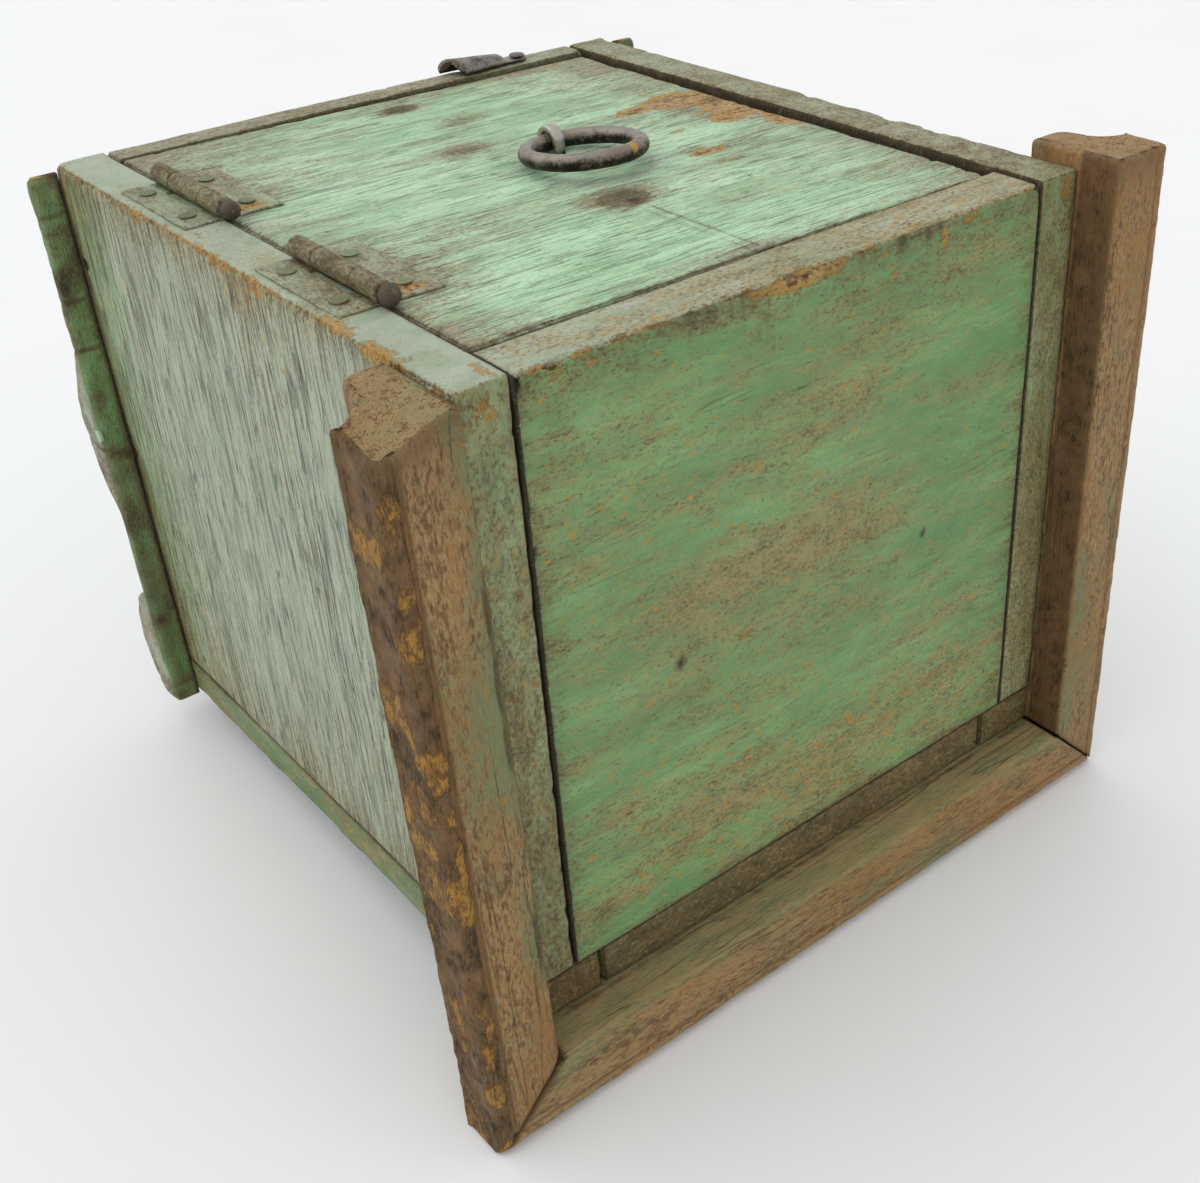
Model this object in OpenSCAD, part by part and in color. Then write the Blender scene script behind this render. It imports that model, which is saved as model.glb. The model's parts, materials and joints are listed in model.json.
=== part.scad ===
// Small painted display case, lying on its glazed front with the hinged rear door upwards.
// Left and right are seen from the near end, which carries the base moulding.

/* [Carcass] */
// Width over the two side boards
carcass_w = 190; // [150:1:240]
// Length of the side boards, from the near end to the far end
carcass_l = 204; // [170:1:260]
// Height from the face of the front frame to the top of the boards
carcass_h = 177; // [140:1:220]
// Thickness of the two side boards
side_t = 14; // [10:0.5:18]
// Thickness of the near end board
near_t = 15.5; // [11:0.5:20]
// Thickness of the far end board
far_t = 10; // [9:0.5:14]
// Open seam at each end of the end boards
seam_gap = 0.8; // [0:0.1:1.5]
// How far the near end board is worn below the side boards
near_drop = 0.8; // [0:0.1:2]
// Radius of the worn outer edges of the boards
edge_r = 2; // [0.5:0.1:3]
// Radius of the less worn inner edges of the boards
dull_r = 1; // [0.5:0.1:2]
// Radius of the worn outer edge of the near end board
near_edge_r = 3; // [1:0.1:4]
// Radius of the worn inner edge of the right side board
inner_edge_r = 3; // [1:0.1:4]

/* [Front frame] */
// Thickness of the front frame
frame_t = 12.8; // [9:0.1:18]
// Width of the two stiles
stile_w = 22; // [19:0.5:30]
// Width of the two rails
rail_w = 24; // [21:0.5:32]
// Open joint between rail and stile
frame_gap = 1; // [0:0.1:1.5]
// Thickness of the window glass
glass_t = 2.5; // [1.5:0.1:4]
// Clearance round the glass
glass_gap = 0.5; // [0.2:0.1:1]
// Width and height of the glazing beads
bead = 7; // [4:0.5:9]

/* [Base moulding] */
// How far the moulding stands out from the carcass
mould_w = 21; // [18:0.5:28]
// How far the moulding projects past the near end
mould_proj = 13; // [6:0.5:18]
// How far the moulding laps onto the sides and the front
mould_lap = 16; // [14:0.5:24]
// Radius of the rounded outer corner
mould_corner_r = 4; // [2:0.5:5]
// Radius of the cove
cove_r = 9; // [6:0.5:10]
// Radius of the bead beside the carcass
mould_bead_r = 5; // [3:0.5:6]
// Distance of the scratched line from the inner edge of the near face
groove_at = 15.4; // [10:0.2:15.4]
// Width of the scratched line
groove_w = 0.9; // [0.5:0.1:1.2]
// Depth of the scratched line
groove_d = 0.6; // [0.3:0.1:1]
// Open mitre between the mouldings
mitre_gap = 0.5; // [0.2:0.1:1]
// How far the right moulding stands above the boards
right_rise = 4.5; // [0:0.5:6]
// Lean of the two trims on the left side, in degrees
trim_lean = 2.4; // [0:0.2:3]
// Width of the worn corner at the top of the left moulding
worn_corner_w = 13; // [6:0.5:16]
// Length of the worn corner along the case
worn_corner_l = 17; // [8:0.5:20]
// Depth of the worn corner
worn_corner_d = 6.5; // [2:0.5:8]

/* [Crest] */
// Thickness of the side strips
crest_t = 8.5; // [6:0.5:12]
// Thickness of the front strip
crest_front_t = 10; // [6:0.5:12]
// How far the strips lap onto the carcass
crest_lap = 8; // [6:0.5:10]
// Least height of a strip
crest_band = 3.2; // [2:0.1:5]
// Height of the middle lobe on the side strips
lobe_h = 14.5; // [10:0.5:17]
// Half width of the middle lobe on the side strips
lobe_half = 30; // [20:1:34]
// Distance of the middle lobe from the front face
lobe_at = 96; // [84:1:110]
// Height of the round horn at the front corners
horn_h = 16; // [10:0.5:17]
// Width of the round horn
horn_w = 40; // [28:1:41]
// Start of the side strips, counted upwards from the front face
crest_start = -1; // [-2:0.5:2]
// Drop of the left strip's top end below the boards
left_crest_drop = 2.5; // [0:0.5:5]
// Drop of the right strip's top end below the boards
right_crest_drop = 0.5; // [0:0.5:5]
// Radius of the rounded outer edge of the side strips
crest_edge_r = 3; // [1:0.5:5]
// Height of the middle lobe on the front strip
front_lobe_h = 22; // [21:0.5:28]
// Greatest half width of the middle lobe on the front strip
front_lobe_half = 40; // [25:1:44]
// Distance of the front strip's ends from the sides
crest_inset = 14; // [11:0.5:20]
// Distance of the crest nails from the far end
crest_nail_inset = 2.2; // [2:0.1:2.4]

/* [Lid] */
// Thickness of the lid board
lid_t = 12; // [9:0.5:14]
// Clearance at the hinge edge and at both ends of the lid
lid_gap = 0.8; // [0.5:0.1:1.5]
// Clearance at the free edge of the lid
free_gap = 2; // [1.6:0.1:3]
// Sag of the closed lid below level, in degrees
lid_sag = 0.5; // [0:0.1:1.8]
// Clearance between the closed lid and its stop
stop_gap = 0.3; // [0.2:0.1:0.6]
// Width of the lid stop
stop_w = 10; // [6:0.5:14]
// Height of the lid stop
stop_h = 12; // [8:0.5:18]

/* [Hinges] */
// Length of the hinge leaves
leaf_l = 40; // [32:1:48]
// Thickness of the hinge leaves
leaf_t = 0.8; // [0.6:0.1:1.6]
// Width of the fixed leaf from the pin
fixed_leaf_w = 11.5; // [10:0.5:12]
// Width of the lid leaf from the pin
lid_leaf_w = 15.5; // [13:0.5:20]
// Outer radius of the knuckles
knuckle_r = 2.7; // [2.3:0.1:3.2]
// Radius of the hinge pin
pin_r = 1.3; // [1:0.1:1.5]
// Running clearance of the pin in the lid knuckle
pin_gap = 0.06; // [0.03:0.01:0.1]
// Clearance between knuckles, and between the leaf and the other leaf's knuckles
knuckle_gap = 0.3; // [0.2:0.1:0.5]
// Length of the two outer knuckles
outer_knuckle = 11; // [8:0.5:13]
// How far the ball head of the pin stands out
pin_head = 5; // [3:0.5:7]
// Distance of the middle of the near hinge from the near end
near_hinge_at = 68; // [60:1:72]
// Distance of the middle of the far hinge from the near end
far_hinge_at = 145; // [138:1:150]
// Radius of the screw shanks in the hinge leaves
screw_r = 1.1; // [0.8:0.1:1.4]
// Radius of the screw heads
screw_head_r = 2.2; // [1.8:0.1:2.6]
// Height of the screw heads
screw_head_t = 0.3; // [0.2:0.1:0.8]
// Length of the screws below the leaf
screw_l = 8; // [5:0.5:8.5]
// Distance of the screws from the ends of the leaf
screw_inset = 8; // [6:0.5:12]

/* [Ring pull] */
// Radius of the ring to the middle of its wire
ring_r = 15.4; // [12:0.2:20]
// Radius of the ring wire
ring_wire_r = 2.4; // [1.8:0.1:3]
// Gap between the ring and the lid when it is laid down
ring_gap = 0.35; // [0.3:0.05:0.6]
// Lift of the ring's free side off the lid, in degrees
ring_lift = 5; // [0:0.5:10]
// Place of the eye across the case
eye_x = 105; // [85:1:120]
// Place of the eye from the near end
eye_y = 113.5; // [95:0.5:130]
// Clearance between the ring wire and the eye
eye_gap = 0.45; // [0.35:0.05:0.8]
// Thickness of the eye strap
eye_t = 1.8; // [1.2:0.1:2.4]
// Width of the eye strap
eye_w = 3.4; // [2.4:0.1:4]
// Clearance of the eye legs in the lid
eye_fit = 0.1; // [0.05:0.01:0.2]
// Length of the clinched tails under the lid
tail_l = 9; // [6:0.5:12]

/* [Turn button] */
// Distance of the nail from the right side of the case
button_from_right = 38; // [30:1:60]
// Thickness of the sheet iron
button_t = 1; // [0.8:0.1:1.4]
// Half width of the flat tail
button_tail_half = 3; // [2.6:0.1:4]
// Length from the nail to the end of the blade
button_l = 27; // [20:0.5:32]
// Distance from the nail to the start of the arched blade
button_neck = 5; // [4.6:0.2:7]
// Outer radius of the arch beside the neck
button_neck_r = 3.2; // [2.6:0.1:4]
// Outer radius of the arch at the free end
button_end_r = 5.2; // [4:0.1:5.2]
// Slant of the free end, in degrees
button_slant = 25; // [0:1:35]
// Clearance under the button
button_gap = 0.3; // [0.2:0.05:0.5]
// Radius of the pivot nail
button_nail_r = 1.2; // [1:0.05:1.5]
// Running clearance of the button on its nail
button_fit = 0.06; // [0.03:0.01:0.1]
// Radius of the pivot nail's head
button_head_r = 2.6; // [2.2:0.1:3]
// Length of the pivot nail in the board
button_nail_l = 20; // [14:1:24]

/* [Nails] */
// Radius of the nails
nail_r = 1; // [0.7:0.05:1.3]
// Radius of the nail heads
nail_head_r = 1.9; // [1.5:0.1:2.4]
// Thickness of the nail heads
nail_head_t = 0.8; // [0.5:0.1:1.2]
// Length of the nails in the carcass and the frame
nail_l = 34; // [26:1:44]
// Depth of the trim nails in the carcass
trim_nail_l = 9; // [6:0.5:10]
// Clearance of the nails in their holes
nail_fit = 0.05; // [0.02:0.01:0.1]
// Distance of the outer carcass nails from the edges
nail_inset = 28; // [22:1:36]
// Distance of the rail nails from the sides
rail_nail_inset = 72; // [66:1:73]
// Distance of the trim nails from the edges
trim_nail_inset = 50; // [44:1:60]

/* [Hidden] */
$fn = 48;

paint = "#7fa98a";
paint_dark = "#5f8668";
bare_wood = "#7d5f42";
rusty_iron = "#5a4a3e";
dark_iron = "#3f3b38";
clear_glass = "#cfe0dc";

// Room for cutting solids, larger than the whole case
far_away = carcass_w + carcass_l + carcass_h;
// Depth by which a cut runs past the face that it opens
past = 1;
// Points on each quarter of a round edge
arc_steps = 8;
// Points on each half of a crest lobe
lobe_steps = 14;

mould_depth = mould_proj + mould_lap;
crest_y = carcass_l - crest_lap;
centre_y = (crest_y + front_lobe_h - mould_proj) / 2;
inner_w = carcass_w - 2 * side_t;
inner_l = carcass_l - near_t - far_t;
glass_top = frame_t + glass_t;

// The hinge pin lies over the seam between the left board and the lid
axis_x = side_t + lid_gap / 2;
axis_z = carcass_h + knuckle_r + knuckle_gap;
lid_x = side_t + lid_gap;
lid_y = near_t + lid_gap;
lid_w = inner_w - lid_gap - free_gap;
lid_l = inner_l - 2 * lid_gap;
// Lowest point of the sagging lid at its free edge
lid_low = axis_z - (lid_x + lid_w - axis_x) * sin(lid_sag) - (axis_z - carcass_h + lid_t) * cos(lid_sag);
stop_top = lid_low - stop_gap;
eye_z = carcass_h + ring_wire_r + ring_gap;
eye_inner_r = ring_wire_r + eye_gap;
button_x = carcass_w - button_from_right;
near_joint_y = near_t / 2;
far_joint_y = carcass_l - far_t / 2;
button_y = far_joint_y;
// The trim nails stand clear of the carcass nails and of the moulding's bead
mould_nail_y = mould_lap / 2;
crest_nail_y = carcass_l - crest_nail_inset;
horn_middle = horn_w / 2;
side_crest_nails = [crest_start + horn_middle, lobe_at];
front_crest_nails = [crest_inset + horn_middle, carcass_w / 2, carcass_w - crest_inset - horn_middle];
front_crest_half = min(front_lobe_half, carcass_w / 2 - crest_inset - horn_w);
// Fullness of the crest lobes, where 1 is a plain wave
lobe_power = 0.75;

// Evenly spread places along a length
function spread(count, length, inset) =
    [for (i = [0 : count - 1]) inset + i * (length - 2 * inset) / (count - 1)];
// Points of a round edge about a centre, from one angle to another
function arc(cx, cy, r, from, to) =
    [for (i = [0 : arc_steps]) let (a = from + (to - from) * i / arc_steps) [cx + r * cos(a), cy + r * sin(a)]];
// Rectangle with its own radius at the top left and the top right corner
function board_points(w, h, left_r, right_r) =
    concat([[0, 0], [w, 0]], arc(w - right_r, h - right_r, right_r, 0, 90),
        arc(left_r, h - left_r, left_r, 90, 180));
// Section of the base moulding: distance from the near face, distance from the carcass
function moulding_points() =
    concat([[0, 0], [0, groove_at], [groove_d, groove_at + groove_w / 2], [0, groove_at + groove_w]],
        arc(mould_corner_r, mould_w - mould_corner_r, mould_corner_r, 180, 90),
        arc(mould_depth - mould_bead_r, mould_w, cove_r, 180, 270),
        arc(mould_depth - mould_bead_r, mould_w - cove_r - mould_bead_r, mould_bead_r, 90, 0),
        [[mould_depth, 0]]);
// Height of a soft lobe at a distance from its middle
function lobe(height, half, d) =
    crest_band + (height - crest_band) * pow((1 + cos(180 * d / half)) / 2, lobe_power);
// How far the leaning left moulding has moved along the case at a height
function lean_shift(z) = (z + mould_w) * tan(trim_lean);
// Top edge of a lobe from one foot to the other
function lobe_points(height, half, middle) =
    [for (i = [-lobe_steps : lobe_steps]) [middle + half * i / lobe_steps, lobe(height, half, half * i / lobe_steps)]];
// Top edge of a round horn, half an ellipse over the band
function horn_points(start) =
    [for (i = [0 : lobe_steps]) let (a = 180 - 180 * i / lobe_steps)
        [start + horn_w / 2 + horn_w / 2 * cos(a), crest_band + (horn_h - crest_band) * sin(a)]];

// Moves the carcass frame to the reference point, under the middle of the whole case
module place() {
    translate([-carcass_w / 2, -centre_y, mould_w]) children();
}

// Carries a piece of the lid round the hinge pin to the sagging closed place
module on_lid() {
    place() translate([axis_x, 0, axis_z]) rotate([0, lid_sag, 0]) translate([-axis_x, 0, -axis_z]) children();
}

// Stands a section in the plane across the case and draws it out along the case
module along_y(length) {
    translate([0, length, 0]) rotate([90, 0, 0]) linear_extrude(length) children();
}

// Stands a section in the plane along the case and draws it out across the case
module along_x(length) {
    rotate([90, 0, 90]) linear_extrude(length) children();
}

// Block that keeps everything on the upper side of a slanted mitre
module mitre_block(angle, shift) {
    rotate([0, angle, 0]) translate([-far_away / 2, -far_away / 2, shift]) cube(far_away);
}

// Nail along +Z with its head at the start
module nail(length, grow) {
    cylinder(r = nail_head_r + grow, h = nail_head_t);
    cylinder(r = nail_r + grow, h = length + grow);
}

// Nails through the side boards into the end boards
module carcass_nail_set(grow) {
    for (y = [near_joint_y, far_joint_y], z = spread(3, carcass_h, nail_inset)) {
        translate([0, y, z]) rotate([0, 90, 0]) nail(nail_l, grow);
        translate([carcass_w, y, z]) rotate([0, -90, 0]) nail(nail_l, grow);
    }
}

// Nails through the front frame into the boards
module frame_nail_set(grow) {
    for (x = [side_t / 2, carcass_w - side_t / 2], y = spread(3, carcass_l, nail_inset))
        translate([x, y, 0]) nail(nail_l, grow);
    for (y = [near_joint_y, far_joint_y], x = spread(2, carcass_w, rail_nail_inset))
        translate([x, y, 0]) nail(nail_l, grow);
}

// Nails through the base moulding, with the heads set in the cove
module moulding_nail_set(grow) {
    head_at = mould_w - cove_r;
    for (z = spread(2, carcass_h, trim_nail_inset)) {
        translate([-head_at, mould_nail_y + lean_shift(z), z]) rotate([0, 90, 0]) nail(head_at + trim_nail_l, grow);
        translate([carcass_w + head_at, mould_nail_y, z]) rotate([0, -90, 0]) nail(head_at + trim_nail_l, grow);
    }
    for (x = spread(3, carcass_w, trim_nail_inset))
        translate([x, mould_nail_y, -head_at]) nail(head_at + trim_nail_l, grow);
}

// Open holes from the moulding's surface down to the set nail heads
module moulding_nail_ways() {
    head_at = mould_w - cove_r;
    for (z = spread(2, carcass_h, trim_nail_inset)) {
        translate([-mould_w - past, mould_nail_y + lean_shift(z), z]) rotate([0, 90, 0])
            cylinder(r = nail_head_r + nail_fit, h = cove_r + past + nail_head_t);
        translate([carcass_w + mould_w + past, mould_nail_y, z]) rotate([0, -90, 0])
            cylinder(r = nail_head_r + nail_fit, h = cove_r + past + nail_head_t);
    }
    for (x = spread(3, carcass_w, trim_nail_inset))
        translate([x, mould_nail_y, -mould_w - past])
            cylinder(r = nail_head_r + nail_fit, h = cove_r + past + nail_head_t);
}

// Nails through the crest strips
module crest_nail_set(grow) {
    for (z = side_crest_nails) {
        translate([-crest_t, crest_nail_y, z]) rotate([0, 90, 0]) nail(crest_t + trim_nail_l, grow);
        translate([carcass_w + crest_t, crest_nail_y, z]) rotate([0, -90, 0]) nail(crest_t + trim_nail_l, grow);
    }
    for (x = front_crest_nails)
        translate([x, crest_nail_y, -crest_front_t]) nail(crest_front_t + trim_nail_l, grow);
}

// Screws of one hinge leaf: places along the leaf, at a distance from the pin
module leaf_screw_set(middle, from_pin, grow) {
    for (y = [middle - leaf_l / 2 + screw_inset, middle + leaf_l / 2 - screw_inset])
        translate([axis_x + from_pin, y, carcass_h - screw_l]) {
            cylinder(r = screw_r + grow, h = screw_l + leaf_t + screw_head_t);
            translate([0, 0, screw_l + leaf_t]) cylinder(r = screw_head_r, h = screw_head_t);
        }
}

fixed_screw_at = -(fixed_leaf_w + knuckle_r) / 2;
lid_screw_at = (lid_leaf_w + knuckle_r) / 2;
hinge_middles = [near_hinge_at, far_hinge_at];

module fixed_screw_sets(grow) {
    for (m = hinge_middles) leaf_screw_set(m, fixed_screw_at, grow);
}

module lid_screw_sets(grow) {
    for (m = hinge_middles) leaf_screw_set(m, lid_screw_at, grow);
}

module left_side_board() {
    color(paint) place() difference() {
        translate([0, 0, frame_t]) along_y(carcass_l)
            polygon(board_points(side_t, carcass_h - frame_t, edge_r, dull_r));
        carcass_nail_set(nail_fit);
        frame_nail_set(nail_fit);
        moulding_nail_set(nail_fit);
        crest_nail_set(nail_fit);
        fixed_screw_sets(nail_fit);
    }
}

module right_side_board() {
    color(paint) place() difference() {
        translate([carcass_w - side_t, 0, frame_t]) along_y(carcass_l)
            polygon(board_points(side_t, carcass_h - frame_t, inner_edge_r, edge_r));
        carcass_nail_set(nail_fit);
        frame_nail_set(nail_fit);
        moulding_nail_set(nail_fit);
        crest_nail_set(nail_fit);
    }
}

module near_end_board() {
    color(paint) place() difference() {
        translate([side_t + seam_gap, 0, frame_t]) along_x(inner_w - 2 * seam_gap)
            polygon(board_points(near_t, carcass_h - near_drop - frame_t, near_edge_r, dull_r));
        carcass_nail_set(nail_fit);
        frame_nail_set(nail_fit);
    }
}

module far_end_board() {
    color(paint) place() difference() {
        translate([side_t + seam_gap, carcass_l - far_t, frame_t]) along_x(inner_w - 2 * seam_gap)
            polygon(board_points(far_t, carcass_h - frame_t, dull_r, edge_r));
        carcass_nail_set(nail_fit);
        frame_nail_set(nail_fit);
        turn_button_nail_solid(nail_fit);
    }
}

module front_stile(x) {
    difference() {
        translate([x, 0, 0]) cube([stile_w, carcass_l, frame_t]);
        frame_nail_set(nail_fit);
        moulding_nail_set(nail_fit);
        crest_nail_set(nail_fit);
    }
}

module front_stile_left() {
    color(paint_dark) place() front_stile(0);
}

module front_stile_right() {
    color(paint_dark) place() front_stile(carcass_w - stile_w);
}

module front_rail(y) {
    difference() {
        translate([stile_w + frame_gap, y, 0]) cube([carcass_w - 2 * (stile_w + frame_gap), rail_w, frame_t]);
        frame_nail_set(nail_fit);
        moulding_nail_set(nail_fit);
        crest_nail_set(nail_fit);
    }
}

module front_rail_near() {
    color(paint_dark) place() front_rail(0);
}

module front_rail_far() {
    color(paint_dark) place() front_rail(carcass_l - rail_w);
}

module window_glass() {
    color(clear_glass, 0.4) place()
        translate([side_t + glass_gap, near_t + glass_gap, frame_t])
            cube([inner_w - 2 * glass_gap, inner_l - 2 * glass_gap, glass_t]);
}

// Quarter round bead with its square corner at the origin
module bead_section() {
    polygon(concat([[0, 0], [bead, 0]], arc(0, 0, bead, 0, 90)));
}

module glazing_bead_left() {
    color(bare_wood) place() translate([side_t, near_t, glass_top]) along_y(inner_l) bead_section();
}

module glazing_bead_right() {
    color(bare_wood) place() translate([carcass_w - side_t, near_t, glass_top])
        mirror([1, 0, 0]) along_y(inner_l) bead_section();
}

module glazing_bead_near() {
    color(bare_wood) place() translate([side_t + bead, near_t, glass_top]) along_x(inner_w - 2 * bead) bead_section();
}

module glazing_bead_far() {
    color(bare_wood) place() translate([side_t + bead, carcass_l - far_t, glass_top])
        mirror([0, 1, 0]) along_x(inner_w - 2 * bead) bead_section();
}

// Straight length of base moulding on a side face, drawn towards +X and past both ends
module side_moulding_stock(lean) {
    translate([0, -mould_proj, -mould_w]) rotate([-lean, 0, 0]) translate([0, 0, -far_away / 2]) linear_extrude(far_away)
        polygon([for (p = moulding_points()) [p[1], p[0]]]);
}

// Piece worn off the outer near corner at the top of the left moulding
module worn_corner() {
    translate([-mould_w, lean_shift(carcass_h) - mould_proj, carcass_h])
        polyhedron([[-past, -past, past], [worn_corner_w, -past, past], [-past, worn_corner_l, past],
            [-past, -past, -worn_corner_d]], [[0, 2, 1], [0, 1, 3], [0, 3, 2], [1, 2, 3]]);
}

module base_moulding_left() {
    color(bare_wood) place() difference() {
        intersection() {
            mirror([1, 0, 0]) side_moulding_stock(trim_lean);
            mitre_block(-45, 0);
            translate([-far_away, -far_away, carcass_h - far_away]) cube([far_away, 2 * far_away, far_away]);
        }
        worn_corner();
        moulding_nail_set(nail_fit);
        moulding_nail_ways();
    }
}

module base_moulding_right() {
    color(bare_wood) place() difference() {
        intersection() {
            translate([carcass_w, 0, 0]) side_moulding_stock(0);
            translate([carcass_w, 0, 0]) mitre_block(45, 0);
            translate([carcass_w, -far_away, carcass_h + right_rise - far_away])
                cube([far_away, 2 * far_away, far_away]);
        }
        moulding_nail_set(nail_fit);
        moulding_nail_ways();
    }
}

module base_moulding_front() {
    color(bare_wood) place() difference() {
        translate([-mould_w, -mould_proj, 0]) along_x(carcass_w + 2 * mould_w)
            polygon([for (p = moulding_points()) [p[0], -p[1]]]);
        mitre_block(-45, -mitre_gap);
        translate([carcass_w, 0, 0]) mitre_block(45, -mitre_gap);
        moulding_nail_set(nail_fit);
        moulding_nail_ways();
    }
}

// Side strip of the crest, drawn towards +X from its start above the front face up to its top end
module side_crest(top) {
    intersection() {
        along_x(crest_t) polygon(concat([[0, crest_start]],
            [for (p = horn_points(crest_start)) [p[1], p[0]]],
            [for (p = lobe_points(lobe_h, lobe_half, lobe_at)) [p[1], p[0]]],
            [[crest_band, top], [0, top]]));
        translate([0, 0, crest_start]) linear_extrude(far_away) polygon(concat([[0, 0]],
            arc(crest_t - crest_edge_r, crest_edge_r, crest_edge_r, 270, 360),
            [[crest_t, far_away], [0, far_away]]));
    }
}

module crest_left() {
    color(paint_dark) place() difference() {
        translate([0, crest_y, 0]) rotate([-trim_lean, 0, 0]) mirror([1, 0, 0]) side_crest(carcass_h - left_crest_drop);
        crest_nail_set(nail_fit);
    }
}

module crest_right() {
    color(paint_dark) place() difference() {
        translate([carcass_w, crest_y, 0]) side_crest(carcass_h - right_crest_drop);
        crest_nail_set(nail_fit);
    }
}

module crest_front() {
    color(paint_dark) place() difference() {
        translate([0, crest_y, -crest_front_t]) linear_extrude(crest_front_t) polygon(concat([[crest_inset, 0]],
            horn_points(crest_inset), lobe_points(front_lobe_h, front_crest_half, carcass_w / 2),
            horn_points(carcass_w - crest_inset - horn_w), [[carcass_w - crest_inset, 0]]));
        crest_nail_set(nail_fit);
    }
}

module lid_stop() {
    color(bare_wood) place() translate([carcass_w - side_t - stop_w, near_t, stop_top - stop_h])
        cube([stop_w, inner_l, stop_h]);
}

// Legs of the eye where they go through the lid
module eye_legs(grow) {
    for (side = [-1, 1])
        translate([eye_x - eye_w / 2 - grow, eye_y + side * (eye_inner_r + eye_t / 2) - eye_t / 2 - grow,
            carcass_h - lid_t - past])
            cube([eye_w + 2 * grow, eye_t + 2 * grow, lid_t + 2 * past]);
}

module lid_board() {
    color(paint) on_lid() difference() {
        translate([lid_x, lid_y, carcass_h - lid_t]) cube([lid_w, lid_l, lid_t]);
        eye_legs(eye_fit);
        lid_screw_sets(nail_fit);
    }
}

// Knuckle of a hinge between two places along the pin
module knuckle(from, to, bore_r) {
    translate([axis_x, to, axis_z]) rotate([90, 0, 0]) difference() {
        cylinder(r = knuckle_r, h = to - from);
        translate([0, 0, -past]) cylinder(r = bore_r, h = to - from + 2 * past);
    }
}

// Tongue that joins a leaf to its knuckle, bored for the pin
module tongue(from, to, side, bore_r) {
    difference() {
        translate([axis_x + (side < 0 ? -knuckle_r - knuckle_gap - past : 0), from, carcass_h])
            cube([knuckle_r + knuckle_gap + past, to - from, leaf_t]);
        translate([axis_x, to + past, axis_z]) rotate([90, 0, 0]) cylinder(r = bore_r, h = to - from + 2 * past);
    }
}

// Leaf with its two outer knuckles, fixed to the left side board
module fixed_leaf(middle) {
    start = middle - leaf_l / 2;
    finish = middle + leaf_l / 2;
    difference() {
        union() {
            translate([axis_x - fixed_leaf_w, start, carcass_h])
                cube([fixed_leaf_w - knuckle_r - knuckle_gap, leaf_l, leaf_t]);
            for (span = [[start, start + outer_knuckle], [finish - outer_knuckle, finish]]) {
                knuckle(span[0], span[1], pin_r + nail_fit);
                tongue(span[0], span[1], -1, pin_r + nail_fit);
            }
        }
        leaf_screw_set(middle, fixed_screw_at, nail_fit);
    }
}

// Leaf with the long middle knuckle, fixed to the lid
module lid_leaf(middle) {
    start = middle - leaf_l / 2;
    from = start + outer_knuckle + knuckle_gap;
    to = start + leaf_l - outer_knuckle - knuckle_gap;
    difference() {
        union() {
            translate([axis_x + knuckle_r + knuckle_gap, start, carcass_h])
                cube([lid_leaf_w - knuckle_r - knuckle_gap, leaf_l, leaf_t]);
            knuckle(from, to, pin_r + pin_gap);
            tongue(from, to, 1, pin_r + pin_gap);
        }
        leaf_screw_set(middle, lid_screw_at, nail_fit);
    }
}

// Pin with a ball head at its near end
module hinge_pin(middle) {
    start = middle - leaf_l / 2;
    ball_r = knuckle_r;
    neck_r = (pin_r + knuckle_r) / 2;
    translate([axis_x, start + leaf_l, axis_z]) rotate([90, 0, 0]) cylinder(r = pin_r, h = leaf_l + pin_head - ball_r);
    translate([axis_x, start - knuckle_gap, axis_z]) rotate([90, 0, 0])
        cylinder(r = neck_r, h = pin_head - ball_r - knuckle_gap);
    translate([axis_x, start - pin_head + ball_r, axis_z]) sphere(r = ball_r);
}

module near_hinge_fixed_leaf() {
    color(rusty_iron) place() fixed_leaf(near_hinge_at);
}

module near_hinge_lid_leaf() {
    color(rusty_iron) on_lid() lid_leaf(near_hinge_at);
}

module near_hinge_pin() {
    color(dark_iron) place() hinge_pin(near_hinge_at);
}

module far_hinge_fixed_leaf() {
    color(rusty_iron) place() fixed_leaf(far_hinge_at);
}

module far_hinge_lid_leaf() {
    color(rusty_iron) on_lid() lid_leaf(far_hinge_at);
}

module far_hinge_pin() {
    color(dark_iron) place() hinge_pin(far_hinge_at);
}

module hinge_screws_fixed() {
    color(dark_iron) place() fixed_screw_sets(0);
}

module hinge_screws_lid() {
    color(dark_iron) on_lid() lid_screw_sets(0);
}

// Strap bent over the ring wire, with its two tails clinched under the lid
module ring_eye() {
    color(dark_iron) on_lid() {
        translate([eye_x - eye_w / 2, eye_y, eye_z]) rotate([90, 0, 90]) rotate_extrude(angle = 180)
            translate([eye_inner_r, 0]) square([eye_t, eye_w]);
        for (side = [-1, 1]) {
            translate([eye_x - eye_w / 2, eye_y + side * (eye_inner_r + eye_t / 2) - eye_t / 2, carcass_h - lid_t - eye_t])
                cube([eye_w, eye_t, lid_t + eye_t + eye_z - carcass_h]);
            translate([eye_x - eye_w / 2, eye_y + side * (eye_inner_r + tail_l / 2) - tail_l / 2, carcass_h - lid_t - eye_t])
                cube([eye_w, tail_l, eye_t]);
        }
    }
}

module pull_ring() {
    color(dark_iron) on_lid() translate([eye_x, eye_y, eye_z]) rotate([-ring_lift, 0, 0]) translate([0, -ring_r, 0])
        rotate_extrude($fn = 96) translate([ring_r, 0]) circle(r = ring_wire_r);
}

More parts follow.
